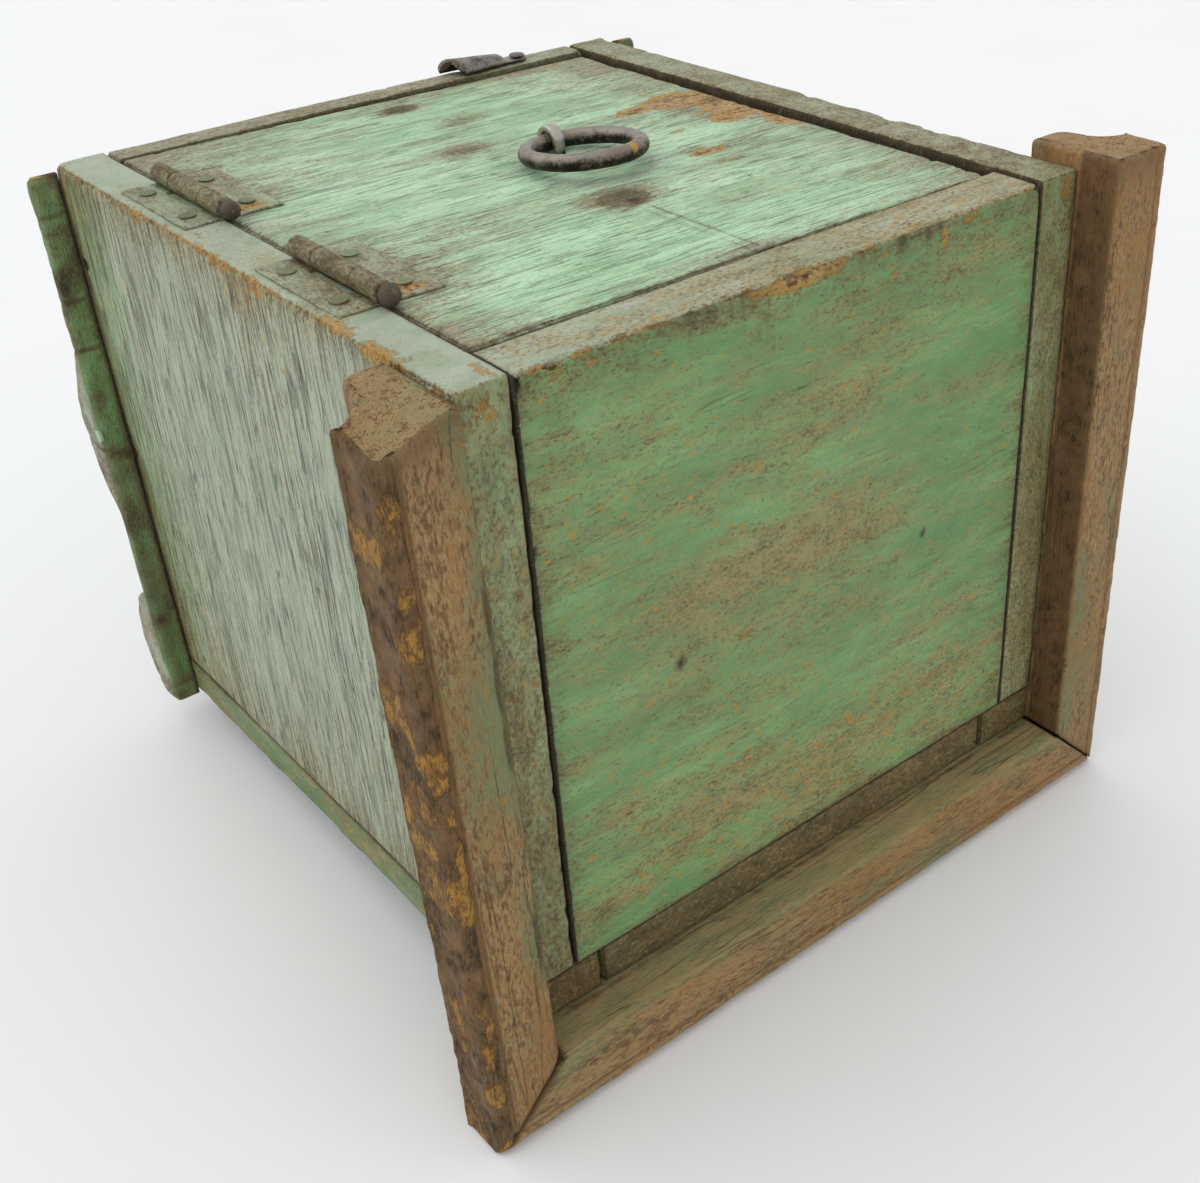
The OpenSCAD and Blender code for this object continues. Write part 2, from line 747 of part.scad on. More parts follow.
// Tail, neck and arched blade of the turn button, pointing to -X from the nail
module turn_button() {
    blade_l = button_l - button_neck;
    color(dark_iron) place() translate([button_x, button_y, carcass_h + button_gap]) difference() {
        union() {
            linear_extrude(button_t) {
                circle(r = button_tail_half);
                translate([-button_neck - past, -button_tail_half]) square([button_neck + past, 2 * button_tail_half]);
            }
            intersection() {
                difference() {
                    translate([-button_neck, 0, 0]) rotate([0, -90, 0])
                        cylinder(r1 = button_neck_r, r2 = button_end_r, h = blade_l);
                    translate([-button_neck - button_t, 0, 0]) rotate([0, -90, 0])
                        cylinder(r1 = button_neck_r - button_t, r2 = button_end_r - button_t, h = blade_l);
                }
                translate([-button_l, -button_end_r, 0]) cube([button_l, 2 * button_end_r, button_end_r]);
            }
        }
        translate([0, 0, -past]) cylinder(r = button_nail_r + button_fit, h = button_t + 2 * past);
        translate([-button_l, button_end_r, 0]) rotate([0, 0, button_slant])
            translate([-far_away, -far_away, -past]) cube([far_away, 2 * far_away, far_away]);
    }
}

// Pivot nail with a low round head over the tail of the button
module turn_button_nail_solid(grow) {
    under_head = carcass_h + button_gap + button_t + button_gap;
    translate([button_x, button_y, carcass_h - button_nail_l]) {
        cylinder(r = button_nail_r + grow, h = button_nail_l + 2 * button_gap + button_t + button_t);
        translate([0, 0, under_head - carcass_h + button_nail_l]) cylinder(r = button_head_r, h = button_t);
    }
}

module turn_button_nail() {
    color(rusty_iron) place() turn_button_nail_solid(0);
}

module carcass_nails() {
    color(rusty_iron) place() carcass_nail_set(0);
}

module frame_nails() {
    color(rusty_iron) place() frame_nail_set(0);
}

module moulding_nails() {
    color(rusty_iron) place() moulding_nail_set(0);
}

module crest_nails() {
    color(rusty_iron) place() crest_nail_set(0);
}

left_side_board();
right_side_board();
near_end_board();
far_end_board();
front_stile_left();
front_stile_right();
front_rail_near();
front_rail_far();
window_glass();
glazing_bead_left();
glazing_bead_right();
glazing_bead_near();
glazing_bead_far();
base_moulding_left();
base_moulding_front();
base_moulding_right();
crest_left();
crest_front();
crest_right();
lid_stop();
lid_board();
near_hinge_fixed_leaf();
near_hinge_lid_leaf();
near_hinge_pin();
far_hinge_fixed_leaf();
far_hinge_lid_leaf();
far_hinge_pin();
hinge_screws_fixed();
hinge_screws_lid();
ring_eye();
pull_ring();
turn_button();
turn_button_nail();
carcass_nails();
frame_nails();
moulding_nails();
crest_nails();
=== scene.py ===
"""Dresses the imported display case: worn paint, bare mouldings and old iron on a pale floor."""

import json
import math
from types import SimpleNamespace

import bpy
import numpy as np
from mathutils import Matrix, Vector


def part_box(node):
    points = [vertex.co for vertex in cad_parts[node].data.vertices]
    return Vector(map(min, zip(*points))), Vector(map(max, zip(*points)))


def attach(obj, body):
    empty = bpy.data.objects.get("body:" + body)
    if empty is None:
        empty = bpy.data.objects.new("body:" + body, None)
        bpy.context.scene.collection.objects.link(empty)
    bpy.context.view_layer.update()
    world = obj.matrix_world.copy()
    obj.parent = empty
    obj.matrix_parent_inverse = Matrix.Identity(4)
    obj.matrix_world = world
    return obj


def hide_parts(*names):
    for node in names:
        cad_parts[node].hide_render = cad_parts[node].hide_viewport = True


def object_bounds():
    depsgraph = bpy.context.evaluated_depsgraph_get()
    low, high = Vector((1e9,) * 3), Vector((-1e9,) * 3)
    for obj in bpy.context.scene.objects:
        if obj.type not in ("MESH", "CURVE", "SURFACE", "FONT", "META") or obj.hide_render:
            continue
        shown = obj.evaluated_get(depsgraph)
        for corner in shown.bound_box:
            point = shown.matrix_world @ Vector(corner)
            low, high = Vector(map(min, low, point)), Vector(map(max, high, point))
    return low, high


bl_info = {
    "name": "Painted display case",
    "version": (1, 0, 0),
    "blender": (4, 5, 0),
    "location": "View3D > Sidebar > Case",
    "description": "Builds the worn boards, mouldings and ironwork of a small display case",
    "category": "Object",
}

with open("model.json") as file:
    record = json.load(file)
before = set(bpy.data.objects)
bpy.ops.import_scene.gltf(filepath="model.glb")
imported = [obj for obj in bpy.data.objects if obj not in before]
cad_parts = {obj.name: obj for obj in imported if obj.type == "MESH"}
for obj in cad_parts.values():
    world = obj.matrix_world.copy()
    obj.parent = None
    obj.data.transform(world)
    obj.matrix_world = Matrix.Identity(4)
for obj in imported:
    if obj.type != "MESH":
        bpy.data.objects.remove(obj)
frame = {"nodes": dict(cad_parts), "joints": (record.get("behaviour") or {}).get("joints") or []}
CAD_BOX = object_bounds()
JOINTS = {joint["name"]: joint for joint in frame["joints"]}
MM = 0.001
# Near left front corner of the carcass, from which all places below are counted in millimetres
CORNER = np.array([*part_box("left_side_board")[0].xy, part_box("front_stile_left")[0].z])


def in_mm(places):
    """Places of the shared frame in millimetres from the carcass corner."""
    return (np.array(places, float) - CORNER) / MM


def span(node):
    """Lowest and highest corner of a CAD node, in millimetres from the carcass corner."""
    low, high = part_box(node)
    return in_mm(low), in_mm(high)


PIN = in_mm(JOINTS["lid_hinge"]["pos_m"])
SAG = math.asin(JOINTS["ring_swing"]["axis"][2])
RING_LIFT = math.radians(-JOINTS["ring_swing"]["range_deg"][0])
WIDTH = span("right_side_board")[1][0]
SIDE_T = span("left_side_board")[1][0]
HEIGHT = span("left_side_board")[1][2]
FRAME_T = span("front_stile_left")[1][2]


def turned(points, middle, angle, axis):
    """Points turned about a middle."""
    return (points - middle) @ np.array(Matrix.Rotation(angle, 3, axis)).T + middle


def sagged(points):
    """Points of a level lid turned about the hinge pin to the sagging one."""
    return turned(points, PIN, SAG, "Y")


def level_span(node):
    """Lowest and highest corner that a CAD node on the lid has when the lid is level."""
    mesh = frame["nodes"][node].data
    places = np.empty(len(mesh.vertices) * 3)
    mesh.vertices.foreach_get("co", places)
    level = turned(in_mm(places.reshape(-1, 3)), PIN, -SAG, "Y")
    return level.min(0), level.max(0)


# Values that a user would change


def srgb(red, green, blue):
    """Linear colour of a tone that is written in the usual 0 to 255 steps."""
    tones = []
    for step in (red, green, blue):
        share = step / 255
        tones.append(share / 12.92 if share <= 0.04045 else ((share + 0.055) / 1.055) ** 2.4)
    return (*tones, 1.0)


def colour_prop(name, description, tone):
    """Colour property with its default written in 0 to 255 steps."""
    return bpy.props.FloatVectorProperty(
        name=name, description=description, subtype="COLOR", size=4, min=0, max=1, default=srgb(*tone))


def length_prop(name, description, millimetres):
    """Length property with its default written in millimetres."""
    return bpy.props.FloatProperty(
        name=name, description=description, subtype="DISTANCE", unit="LENGTH", min=0,
        default=millimetres * MM)


def angle_prop(name, description, degrees):
    """Angle property with its default written in degrees."""
    return bpy.props.FloatProperty(
        name=name, description=description, subtype="ANGLE", unit="ROTATION", default=math.radians(degrees))


def strength_prop(name, description, strength):
    """Strength property of a light."""
    return bpy.props.FloatProperty(name=name, description=description, min=0, default=strength)


class CaseSizes(bpy.types.PropertyGroup):
    """Sizes of the forms that are worked in mesh."""
    step: length_prop("Mesh step", "Distance between mesh lines on the boards", 1.4)
    edge_wear: length_prop("Edge wear", "Radius of the most worn edges", 2.2)
    dent: length_prop("Dents", "Height of the dents in the wood", 0.45)
    corner_r: length_prop("Moulding corner", "Radius of the outer corner of the moulding", 4)
    cove_r: length_prop("Cove", "Radius of the hollow in the moulding", 9)
    bead_r: length_prop("Bead", "Radius of the bead beside the carcass", 5)
    groove_at: length_prop("Groove place", "Distance of the scratched line from the carcass", 15.4)
    trim_lean: angle_prop("Trim lean", "Lean of the two trims on the left", 2.4)
    crest_band: length_prop("Crest band", "Least height of the crest strips", 3.2)
    horn_h: length_prop("Horn height", "Height of the round ends of the crest", 16)
    horn_w: length_prop("Horn width", "Width of the round ends of the crest", 40)
    lobe_h: length_prop("Lobe height", "Height of the lobe on the side strips", 14.5)
    lobe_half: length_prop("Lobe width", "Half width of the lobe on the side strips", 30)
    lobe_at: length_prop("Lobe place", "Height of the lobe over the front face", 96)
    front_lobe_h: length_prop("Front lobe height", "Height of the lobe on the front strip", 22)
    front_lobe_half: length_prop("Front lobe width", "Half width of the lobe on the front strip", 40)
    knuckle_r: length_prop("Knuckle", "Radius of the hinge knuckles", 2.7)
    ring_r: length_prop("Ring", "Radius of the pull ring", 15.4)
    wire_r: length_prop("Ring wire", "Radius of the ring's wire", 2.4)

    def mm(self, name):
        """One of the lengths in millimetres."""
        return getattr(self, name) / MM


class CaseColours(bpy.types.PropertyGroup):
    """Paint, wood, dirt and iron tones."""
    mint: colour_prop("Mint paint", "Lightest paint, on the lid", (193, 228, 189))
    fern: colour_prop("Fern paint", "Light paint", (148, 184, 140))
    # The near end's jade and sage are darker than the lid's mint and fern, partly as their own tone and
    # partly as painted shade on the face that looks away from the key light.
    jade: colour_prop("Jade paint", "Middle paint, on the near end", (130, 172, 111))
    sage: colour_prop("Sage paint", "Darker paint on the near end", (104, 143, 90))
    leaf: colour_prop("Leaf paint", "Dark paint", (98, 136, 84))
    moss: colour_prop("Moss paint", "Darkest paint", (84, 110, 68))
    # On the left face this greyed tone, laid on by the fade mark, also paints the sheen of the light.
    pale: colour_prop("Pale paint", "Greyed paint on rubbed faces", (178, 183, 162))
    dust: colour_prop("Dusty film", "Light soiled film over the paint", (160, 152, 122))
    olive: colour_prop("Olive film", "Soiled film over the paint", (164, 146, 98))
    umber: colour_prop("Umber film", "Darker soiled film", (96, 80, 50))
    ochre: colour_prop("Ochre coat", "Older yellow coat under the paint", (182, 134, 52))
    tan: colour_prop("Tan wood", "Bare wood on worn edges", (186, 154, 106))
    brown: colour_prop("Brown wood", "Bare dark wood", (106, 79, 51))
    rust: colour_prop("Rust brown", "Red brown of the mouldings", (148, 106, 60))
    lichen: colour_prop("Lichen", "Grey green traces of paint on bare wood", (118, 134, 94))
    # Dark tone of dirt, which through the grime_and_shade mark also paints shade in some seams and under some
    # parts.
    grime_and_shade: colour_prop("Grime", "Dirt in seams and grain", (50, 42, 30))
    iron: colour_prop("Iron", "Worn iron", (138, 131, 119))
    iron_dark: colour_prop("Dark iron", "Iron in the hollows", (46, 41, 35))
    iron_rust: colour_prop("Iron rust", "Rust on the iron", (120, 84, 54))


class CaseStage(bpy.types.PropertyGroup):
    """Floor, light and camera."""
    floor: colour_prop("Floor", "Colour of the floor", (239, 239, 238))
    sky: strength_prop("Sky", "Strength of the light all round", 0.93)
    key: strength_prop("Key", "Strength of the light from above", 0.8)
    key_spread: angle_prop("Key spread", "Breadth of the light from above", 80)
    lens: bpy.props.FloatProperty(
        name="Lens", description="Focal length of the camera", subtype="DISTANCE_CAMERA", min=1,
        default=46.89)


# Repeatable noise on mesh points


def lattice_value(cell, seed):
    """Random share between 0 and 1 at whole-number places, the same on each run."""
    mixed = (cell[:, 0] * 73856093) ^ (cell[:, 1] * 19349663) ^ (cell[:, 2] * 83492791) ^ (seed * 29986577)
    mixed = ((mixed ^ (mixed >> 13)) * 1274126177) & 0xFFFFFFFF
    return ((mixed ^ (mixed >> 16)) & 0xFFFF) / 65535.0


def soft_noise(points, size, seed, stretch=(1, 1, 1)):
    """Smooth noise between 0 and 1 with lumps of a size, stretched along the axes."""
    place = points / (size * np.array(stretch, float))
    base = np.floor(place).astype(np.int64)
    part = place - base
    part = part * part * (3 - 2 * part)
    total = np.zeros(len(points))
    for corner in range(8):
        step = np.array([corner & 1, corner >> 1 & 1, corner >> 2 & 1])
        total += np.where(step, part, 1 - part).prod(1) * lattice_value(base + step, seed)
    return total


def rough_noise(points, size, seed, octaves=3, stretch=(1, 1, 1)):
    """Layers of smooth noise, each half as large and half as strong."""
    shares = [0.5 ** octave for octave in range(octaves)]
    layers = [share * soft_noise(points, size * share, seed + n, stretch) for n, share in enumerate(shares)]
    return sum(layers) / sum(shares)


def spots(points, marks):
    """Strength of a list of soft marks: middle, reach along the axes, strength."""
    total = np.zeros(len(points))
    for middle, reach, strength in marks:
        away = ((points - np.array(middle, float)) / np.array(reach, float)) ** 2
        total = np.maximum(total, strength * np.exp(-away.sum(1)))
    return total


def face_marks(axis, level, depth, rows):
    """Marks on one face across an axis, from rows of two places, two reaches and a strength."""
    marks = []
    for row in rows:
        middle = np.insert(np.array(row[:2], float), axis, level)
        reach = np.insert(np.array(row[2:4], float), axis, depth)
        marks.append((middle, reach, row[4]))
    return marks


def near_to(distance, reach):
    """Share that falls from 1 at no distance towards 0."""
    return np.exp(-np.clip(distance, 0, None) / reach)


def most(*shares):
    """Greatest of several shares at each point."""
    count = max(np.size(share) for share in shares)
    return np.maximum.reduce([np.broadcast_to(share, count) for share in shares])


# Mesh makers, all in millimetres from the carcass corner


def cuts(start, stop, step):
    """Places of the mesh lines across a board, closer together near its two edges."""
    fine = 0.6
    rim = min(3.0, (stop - start) * 0.3)
    edge = np.linspace(0, rim, max(3, round(rim / fine) + 1))
    inner = np.linspace(rim, stop - start - rim, max(2, round((stop - start - 2 * rim) / step) + 1))
    return start + np.concatenate([edge[:-1], inner, (stop - start - edge[::-1])[1:]])


def box_lattice(xs, ys, zs):
    """Points and faces of a box's skin on the given mesh lines."""
    skin = np.ones((len(xs), len(ys), len(zs)), bool)
    skin[1:-1, 1:-1, 1:-1] = False
    index = np.full(skin.shape, -1)
    index[skin] = np.arange(skin.sum())
    i, j, k = np.nonzero(skin)
    faces = []
    sheets = ((index[0], True), (index[-1], False), (index[:, 0], False), (index[:, -1], True),
              (index[:, :, 0], True), (index[:, :, -1], False))
    for sheet, inward in sheets:
        quads = np.stack([sheet[:-1, :-1], sheet[1:, :-1], sheet[1:, 1:], sheet[:-1, 1:]], -1).reshape(-1, 4)
        faces.append(quads[:, ::-1] if inward else quads)
    return np.column_stack([xs[i], ys[j], zs[k]]), np.concatenate(faces)


class Board:
    """Skin of a board: points before and after wear, faces, and distance to the nearest edge."""

    def __init__(self, low, high, step, radius, relief):
        lines = [cuts(low[axis], high[axis], step) for axis in range(3)]
        self.flat, self.faces = box_lattice(*lines)
        self.edge = np.sort(np.minimum(self.flat - low, high - self.flat), 1)[:, 1]
        round_off = np.clip(radius(self.flat), 0.2, None)[:, None]
        core = np.clip(self.flat, low + round_off, high - round_off)
        out = self.flat - core
        normal = out / np.linalg.norm(out, axis=1, keepdims=True)
        self.points = core + normal * (round_off + relief(self.flat)[:, None])


# Shares by which the rows that close a swept skin shrink
CAP = (0.2, 0.4, 0.6, 0.8)


def capped(loops):
    """Loops with smaller ones added that close the two ends."""
    first, last = loops[0].mean(0), loops[-1].mean(0)
    opening = [first + (loops[0] - first) * share for share in CAP]
    closing = [last + (loops[-1] - last) * share for share in CAP[::-1]]
    return np.concatenate([opening, loops, closing])


def skin_loops(loops, ring=False):
    """Skin over a row of closed loops, closed at its ends or joined to a ring."""
    rows, count = loops.shape[:2]
    index = np.arange(rows * count).reshape(rows, count)
    if ring:
        index = np.vstack([index, index[:1]])
    side = np.roll(index, -1, 1)
    faces = np.stack([index[:-1], side[:-1], side[1:], index[1:]], -1).reshape(-1, 4).tolist()
    if not ring:
        faces += [index[0, ::-1].tolist(), index[-1].tolist()]
    return loops.reshape(-1, 3), faces


def join_skins(skins):
    """Puts several skins into one list of points and one of faces."""
    points, faces, total = [], [], 0
    for skin, polygons in skins:
        points.append(skin)
        faces += [[corner + total for corner in polygon] for polygon in polygons]
        total += len(skin)
    return np.vstack(points), faces


# The grime_and_shade mark holds dirt, and in some seams and under some parts also painted shade.
MARKS = ("bare", "grime_and_shade", "fade", "rub", "grain")


def make_piece(node, points, faces, marks, finish, body):
    """New smooth mesh piece that rides on a body and stands for a CAD node."""
    mesh = bpy.data.meshes.new(node + "_worn")
    mesh.from_pydata((points * MM + CORNER).tolist(), [], [list(face) for face in faces])
    mesh.polygons.foreach_set("use_smooth", [True] * len(mesh.polygons))
    for label in MARKS:
        values = np.broadcast_to(marks.get(label, 0.0), len(points)).astype(np.float32)
        mesh.attributes.new(label, "FLOAT", "POINT").data.foreach_set("value", values)
    mesh.materials.append(finish)
    mesh.update()
    piece = bpy.data.objects.new(node + "_worn", mesh)
    bpy.context.scene.collection.objects.link(piece)
    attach(piece, body)
    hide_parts(node)


def dress_node(node, finish):
    """Gives a CAD node a finish in place of its plain one."""
    materials = frame["nodes"][node].data.materials
    materials.clear()
    materials.append(finish)


# Shader maths


class Tone:
    """A shader socket that takes part in Python sums."""

    def __init__(self, finish, socket):
        self.finish = finish
        self.socket = socket

    def sum(self, operation, *terms):
        """Adds one Math node."""
        return self.finish.node("ShaderNodeMath", {"operation": operation}, dict(enumerate(terms)))

    def __add__(self, other):
        return self.sum("ADD", self, other)

    __radd__ = __add__

    def __sub__(self, other):
        return self.sum("SUBTRACT", self, other)

    def __rsub__(self, other):
        return self.sum("SUBTRACT", other, self)

    def __mul__(self, other):
        return self.sum("MULTIPLY", self, other)

    __rmul__ = __mul__

    def __abs__(self):
        return self.sum("ABSOLUTE", self)


def along_axis(along, times):
    """Stretch along one axis."""
    return tuple(times if axis == along else 1 for axis in "xyz")


class Finish:
    """Node tree of one material, with lengths in millimetres."""

    def __init__(self, name, shift):
        self.material = bpy.data.materials.new(name)
        self.material.use_nodes = True
        self.tree = self.material.node_tree
        self.tree.nodes.clear()
        self.shader = self.tree.nodes.new("ShaderNodeBsdfPrincipled")
        out = self.tree.nodes.new("ShaderNodeOutputMaterial")
        self.tree.links.new(self.shader.outputs["BSDF"], out.inputs["Surface"])
        where = self.node("ShaderNodeTexCoord", {}, {}, "Object")
        scaled = self.node("ShaderNodeVectorMath", {"operation": "SCALE"}, {0: where, "Scale": 1 / MM})
        self.place = self.node("ShaderNodeVectorMath", {"operation": "ADD"}, {0: scaled, 1: shift})

    def node(self, kind, settings, sockets, output=0):
        """Adds a node, sets it, then fills its sockets with values or links."""
        made = self.tree.nodes.new(kind)
        for key, value in settings.items():
            setattr(made, key, value)
        for key, value in sockets.items():
            if isinstance(value, Tone):
                self.tree.links.new(value.socket, made.inputs[key])
            else:
                made.inputs[key].default_value = value
        return Tone(self, made.outputs[output])

    def noise(self, size, detail, rough, stretch=(1, 1, 1), warp=0.0, seed=0):
        """Noise with lumps of a size, stretched along the axes; each seed gives another pattern."""
        squeeze = tuple(1 / part for part in stretch)
        apart = (seed * 37.0, seed * 91.0, seed * 53.0)
        place = self.node("ShaderNodeVectorMath", {"operation": "MULTIPLY_ADD"}, {
            0: self.place, 1: squeeze, 2: apart})
        return self.node("ShaderNodeTexNoise", {}, {
            "Vector": place, "Scale": 1 / size, "Detail": detail, "Roughness": rough, "Distortion": warp})

    def lines(self, along, size, width, cover):
        """Thin grain lines along an axis, which come and go."""
        wave = self.noise(size, 1, 0.5, along_axis(along, 20), 0.3, 8)
        patch = self.noise(size * 4, 5, 0.7, along_axis(along, 4), 0, 9)
        start = 0.62 - 0.24 * cover
        return self.step(abs(wave - 0.5), width, width * 0.25) * self.step(patch, start - 0.06, start + 0.06)

    def step(self, value, low, high):
        """Soft step from 0 at low to 1 at high."""
        return self.node("ShaderNodeMapRange", {"interpolation_type": "SMOOTHSTEP"}, {
            "Value": value, "From Min": low, "From Max": high})

    def mix(self, first, second, share):
        """Colour between two colours."""
        return self.node("ShaderNodeMix", {"data_type": "RGBA"}, {0: share, 6: first, 7: second}, 2)

    def mark(self, name):
        """Value that is stored on the mesh points."""
        return self.node("ShaderNodeAttribute", {"attribute_name": name}, {}, "Fac")

    def close(self, colour, roughness, height, depth, gloss=0.5, metal=None):
        """Joins colour, roughness and relief to the shader, sets its gloss and returns the material."""
        self.shader.inputs["Specular IOR Level"].default_value = gloss
        bump = self.node("ShaderNodeBump", {}, {"Strength": 1.0, "Distance": depth * MM, "Height": height})
        ends = {"Base Color": colour, "Roughness": roughness, "Normal": bump, "Metallic": metal}
        for name, tone in ends.items():
            if tone is not None:
                self.tree.links.new(tone.socket, self.shader.inputs[name])
        return self.material


# Finishes


def paint_finish(name, along, light, dark, look, shift):
    """Old paint on wood: uneven coat, soiled film, pores, flecks, bare wood at the wear, and dirt that in
    some seams also paints shade.
    """
    tones = bpy.context.scene.case_colours
    coat = Finish(name, shift)
    bare, grime_and_shade, fade, rub, grain = (coat.mark(label) for label in MARKS)
    broad = coat.noise(60, 3, 0.55, along_axis(along, 2.5)) - 0.5
    weave = coat.noise(11, 9, 0.8, along_axis(along, 4), 0.2, 1) - 0.5
    smear = coat.noise(14, 9, 0.82, along_axis(along, 3.6), 0.3, 2) - 0.5
    fray = coat.noise(4, 7, 0.75, along_axis(along, 1.8), 0.3, 3) - 0.5
    grit = coat.noise(0.9, 3, 0.7, along_axis(along, 1.5), 0, 4) - 0.5
    fleck = coat.noise(1.7, 4, 0.68, along_axis(along, 2.4), 0.4, 5) - 0.5
    pore = coat.noise(look["pore"], 2, 0.5, along_axis(along, look["pore_run"]), 0.3, 6) - 0.5
    gate = 1 - look["gate"] + look["gate"] * coat.step(smear + broad, -0.08, 0.06)
    pores = coat.step(pore + grit * 0.25, look["pore_at"], look["pore_at"] - 0.08) * grain * gate
    line = coat.lines(along, look["line"], 0.024, look["line_cover"]) * grain
    colour = coat.mix(dark, light, coat.step(weave + broad * 0.6 + grit * 0.6, -0.16, 0.16))
    faded = coat.step(fade + weave * 2 * look["uneven"] + grit * 0.6, 0.15, 0.95)
    colour = coat.mix(colour, tones.pale, faded * 0.9)
    film = coat.step(rub + (smear * 2.4 + broad * 0.8) * look["uneven"] + grit, 0.15, 0.85)
    darker = coat.step(fray * 0.7 + grit * 0.6, -0.16, 0.24)
    soil = coat.mix(getattr(tones, look["soil"]), tones.umber, darker)
    colour = coat.mix(colour, soil, film * 0.9)
    colour = coat.mix(colour, tones.grime_and_shade, pores * look["pore_dark"])
    colour = coat.mix(colour, tones.grime_and_shade, line * look["line_dark"])
    spot = coat.step(fleck + broad * 0.25 + rub * 0.06, 0.13, 0.17)
    colour = coat.mix(colour, tones.ochre, spot * look["flecks"])
    wear = bare + fray * 1.8 + grit * 0.6
    gone = coat.step(wear, 0.38, 0.5)
    wood = coat.mix(tones.tan, tones.brown, coat.step(fleck * 0.8 + grit * 0.5, -0.08, 0.12))
    colour = coat.mix(colour, tones.ochre, gone * 0.8)
    colour = coat.mix(colour, wood, coat.step(wear + fleck * 0.8, 0.58, 0.8) * 0.92)
    # Where the grime_and_shade mark is high, umber and then the grime tone darken the paint: dirt, and in
    # some seams painted shade.
    deep = grime_and_shade + smear * 0.8 + fray * 0.4 + grit * 0.6
    colour = coat.mix(colour, tones.umber, coat.step(deep, 0.15, 0.6) * 0.75)
    dirt_and_shade = coat.step(deep, 0.42, 1.0)
    colour = coat.mix(colour, tones.grime_and_shade, dirt_and_shade * 0.86)
    colour = coat.mix(colour, tones.grime_and_shade, coat.step(grit, 0.04, 0.26) * look["grit"])
    colour = coat.mix(colour, tones.pale, coat.step(grit, -0.08, -0.26) * look["grit"] * 0.8)
    rough = 0.46 + film * 0.1 + dirt_and_shade * 0.25 + gone * 0.15 + grit * 0.2
    height = weave + grit * 1.1 - pores * look["groove"] - line * 0.5 - gone * 0.35
    return coat.close(colour, rough, height, 0.45, 0.3)


def wood_finish(name, along, shift):
    """Bare dark wood with rust brown, ochre flecks, traces of paint and dirt."""
    tones = bpy.context.scene.case_colours
    wood = Finish(name, shift)
    bare, grime_and_shade, fade, rub, grain = (wood.mark(label) for label in MARKS)
    broad = wood.noise(38, 4, 0.6, along_axis(along, 2.2)) - 0.5
    fray = wood.noise(5, 9, 0.82, along_axis(along, 4), 0.3, 1) - 0.5
    trace = wood.noise(8, 9, 0.82, along_axis(along, 3), 0.3, 2) - 0.5
    speck = wood.noise(0.8, 4, 0.72, along_axis(along, 3), 0.2, 3) - 0.5
    fleck = wood.noise(1.3, 4, 0.7, along_axis(along, 2.2), 0.4, 5) - 0.5
    line = wood.lines(along, 5, 0.016, 0.5) * grain
    colour = wood.mix(tones.brown, tones.tan, wood.step(speck + fray * 0.7, -0.17, 0.17))
    colour = wood.mix(colour, tones.rust, wood.step(fray + broad * 0.7 + fleck * 0.5, -0.1, 0.16) * 0.75)
    film = wood.step(fade + trace * 2.4 + speck * 1.2, 0.3, 0.95)
    colour = wood.mix(colour, tones.lichen, film * 0.8)
    spot = wood.step(fleck + broad * 0.3 + speck * 0.4, 0.11, 0.19)
    colour = wood.mix(colour, tones.ochre, spot * 0.7)
    worn = wood.step(rub + fray * 1.6 + speck * 0.8, 0.35, 1.0)
    colour = wood.mix(colour, tones.tan, worn * 0.75)
    colour = wood.mix(colour, tones.grime_and_shade, line * 0.4)
    deep = grime_and_shade + fray * 1.1 + speck * 1.1
    colour = wood.mix(colour, tones.brown, wood.step(deep, 0.1, 0.5) * 0.8)
    dirt_and_shade = wood.step(deep, 0.42, 0.85)
    colour = wood.mix(colour, tones.grime_and_shade, dirt_and_shade * 0.88)
    peel = wood.step(bare + fray * 2.2 + speck * 1.4, 0.48, 0.62)
    flake = wood.mix(tones.ochre, tones.brown, wood.step(fleck + speck, -0.14, 0.18))
    colour = wood.mix(colour, flake, peel * 0.85)
    colour = wood.mix(colour, tones.grime_and_shade, wood.step(speck, 0.06, 0.26) * 0.3)
    rough = 0.6 + speck * 0.3 + dirt_and_shade * 0.2
    height = fray + speck - line * 0.6 + film * 0.15 + peel * 0.3
    return wood.close(colour, rough, height, 0.55, 0.22)


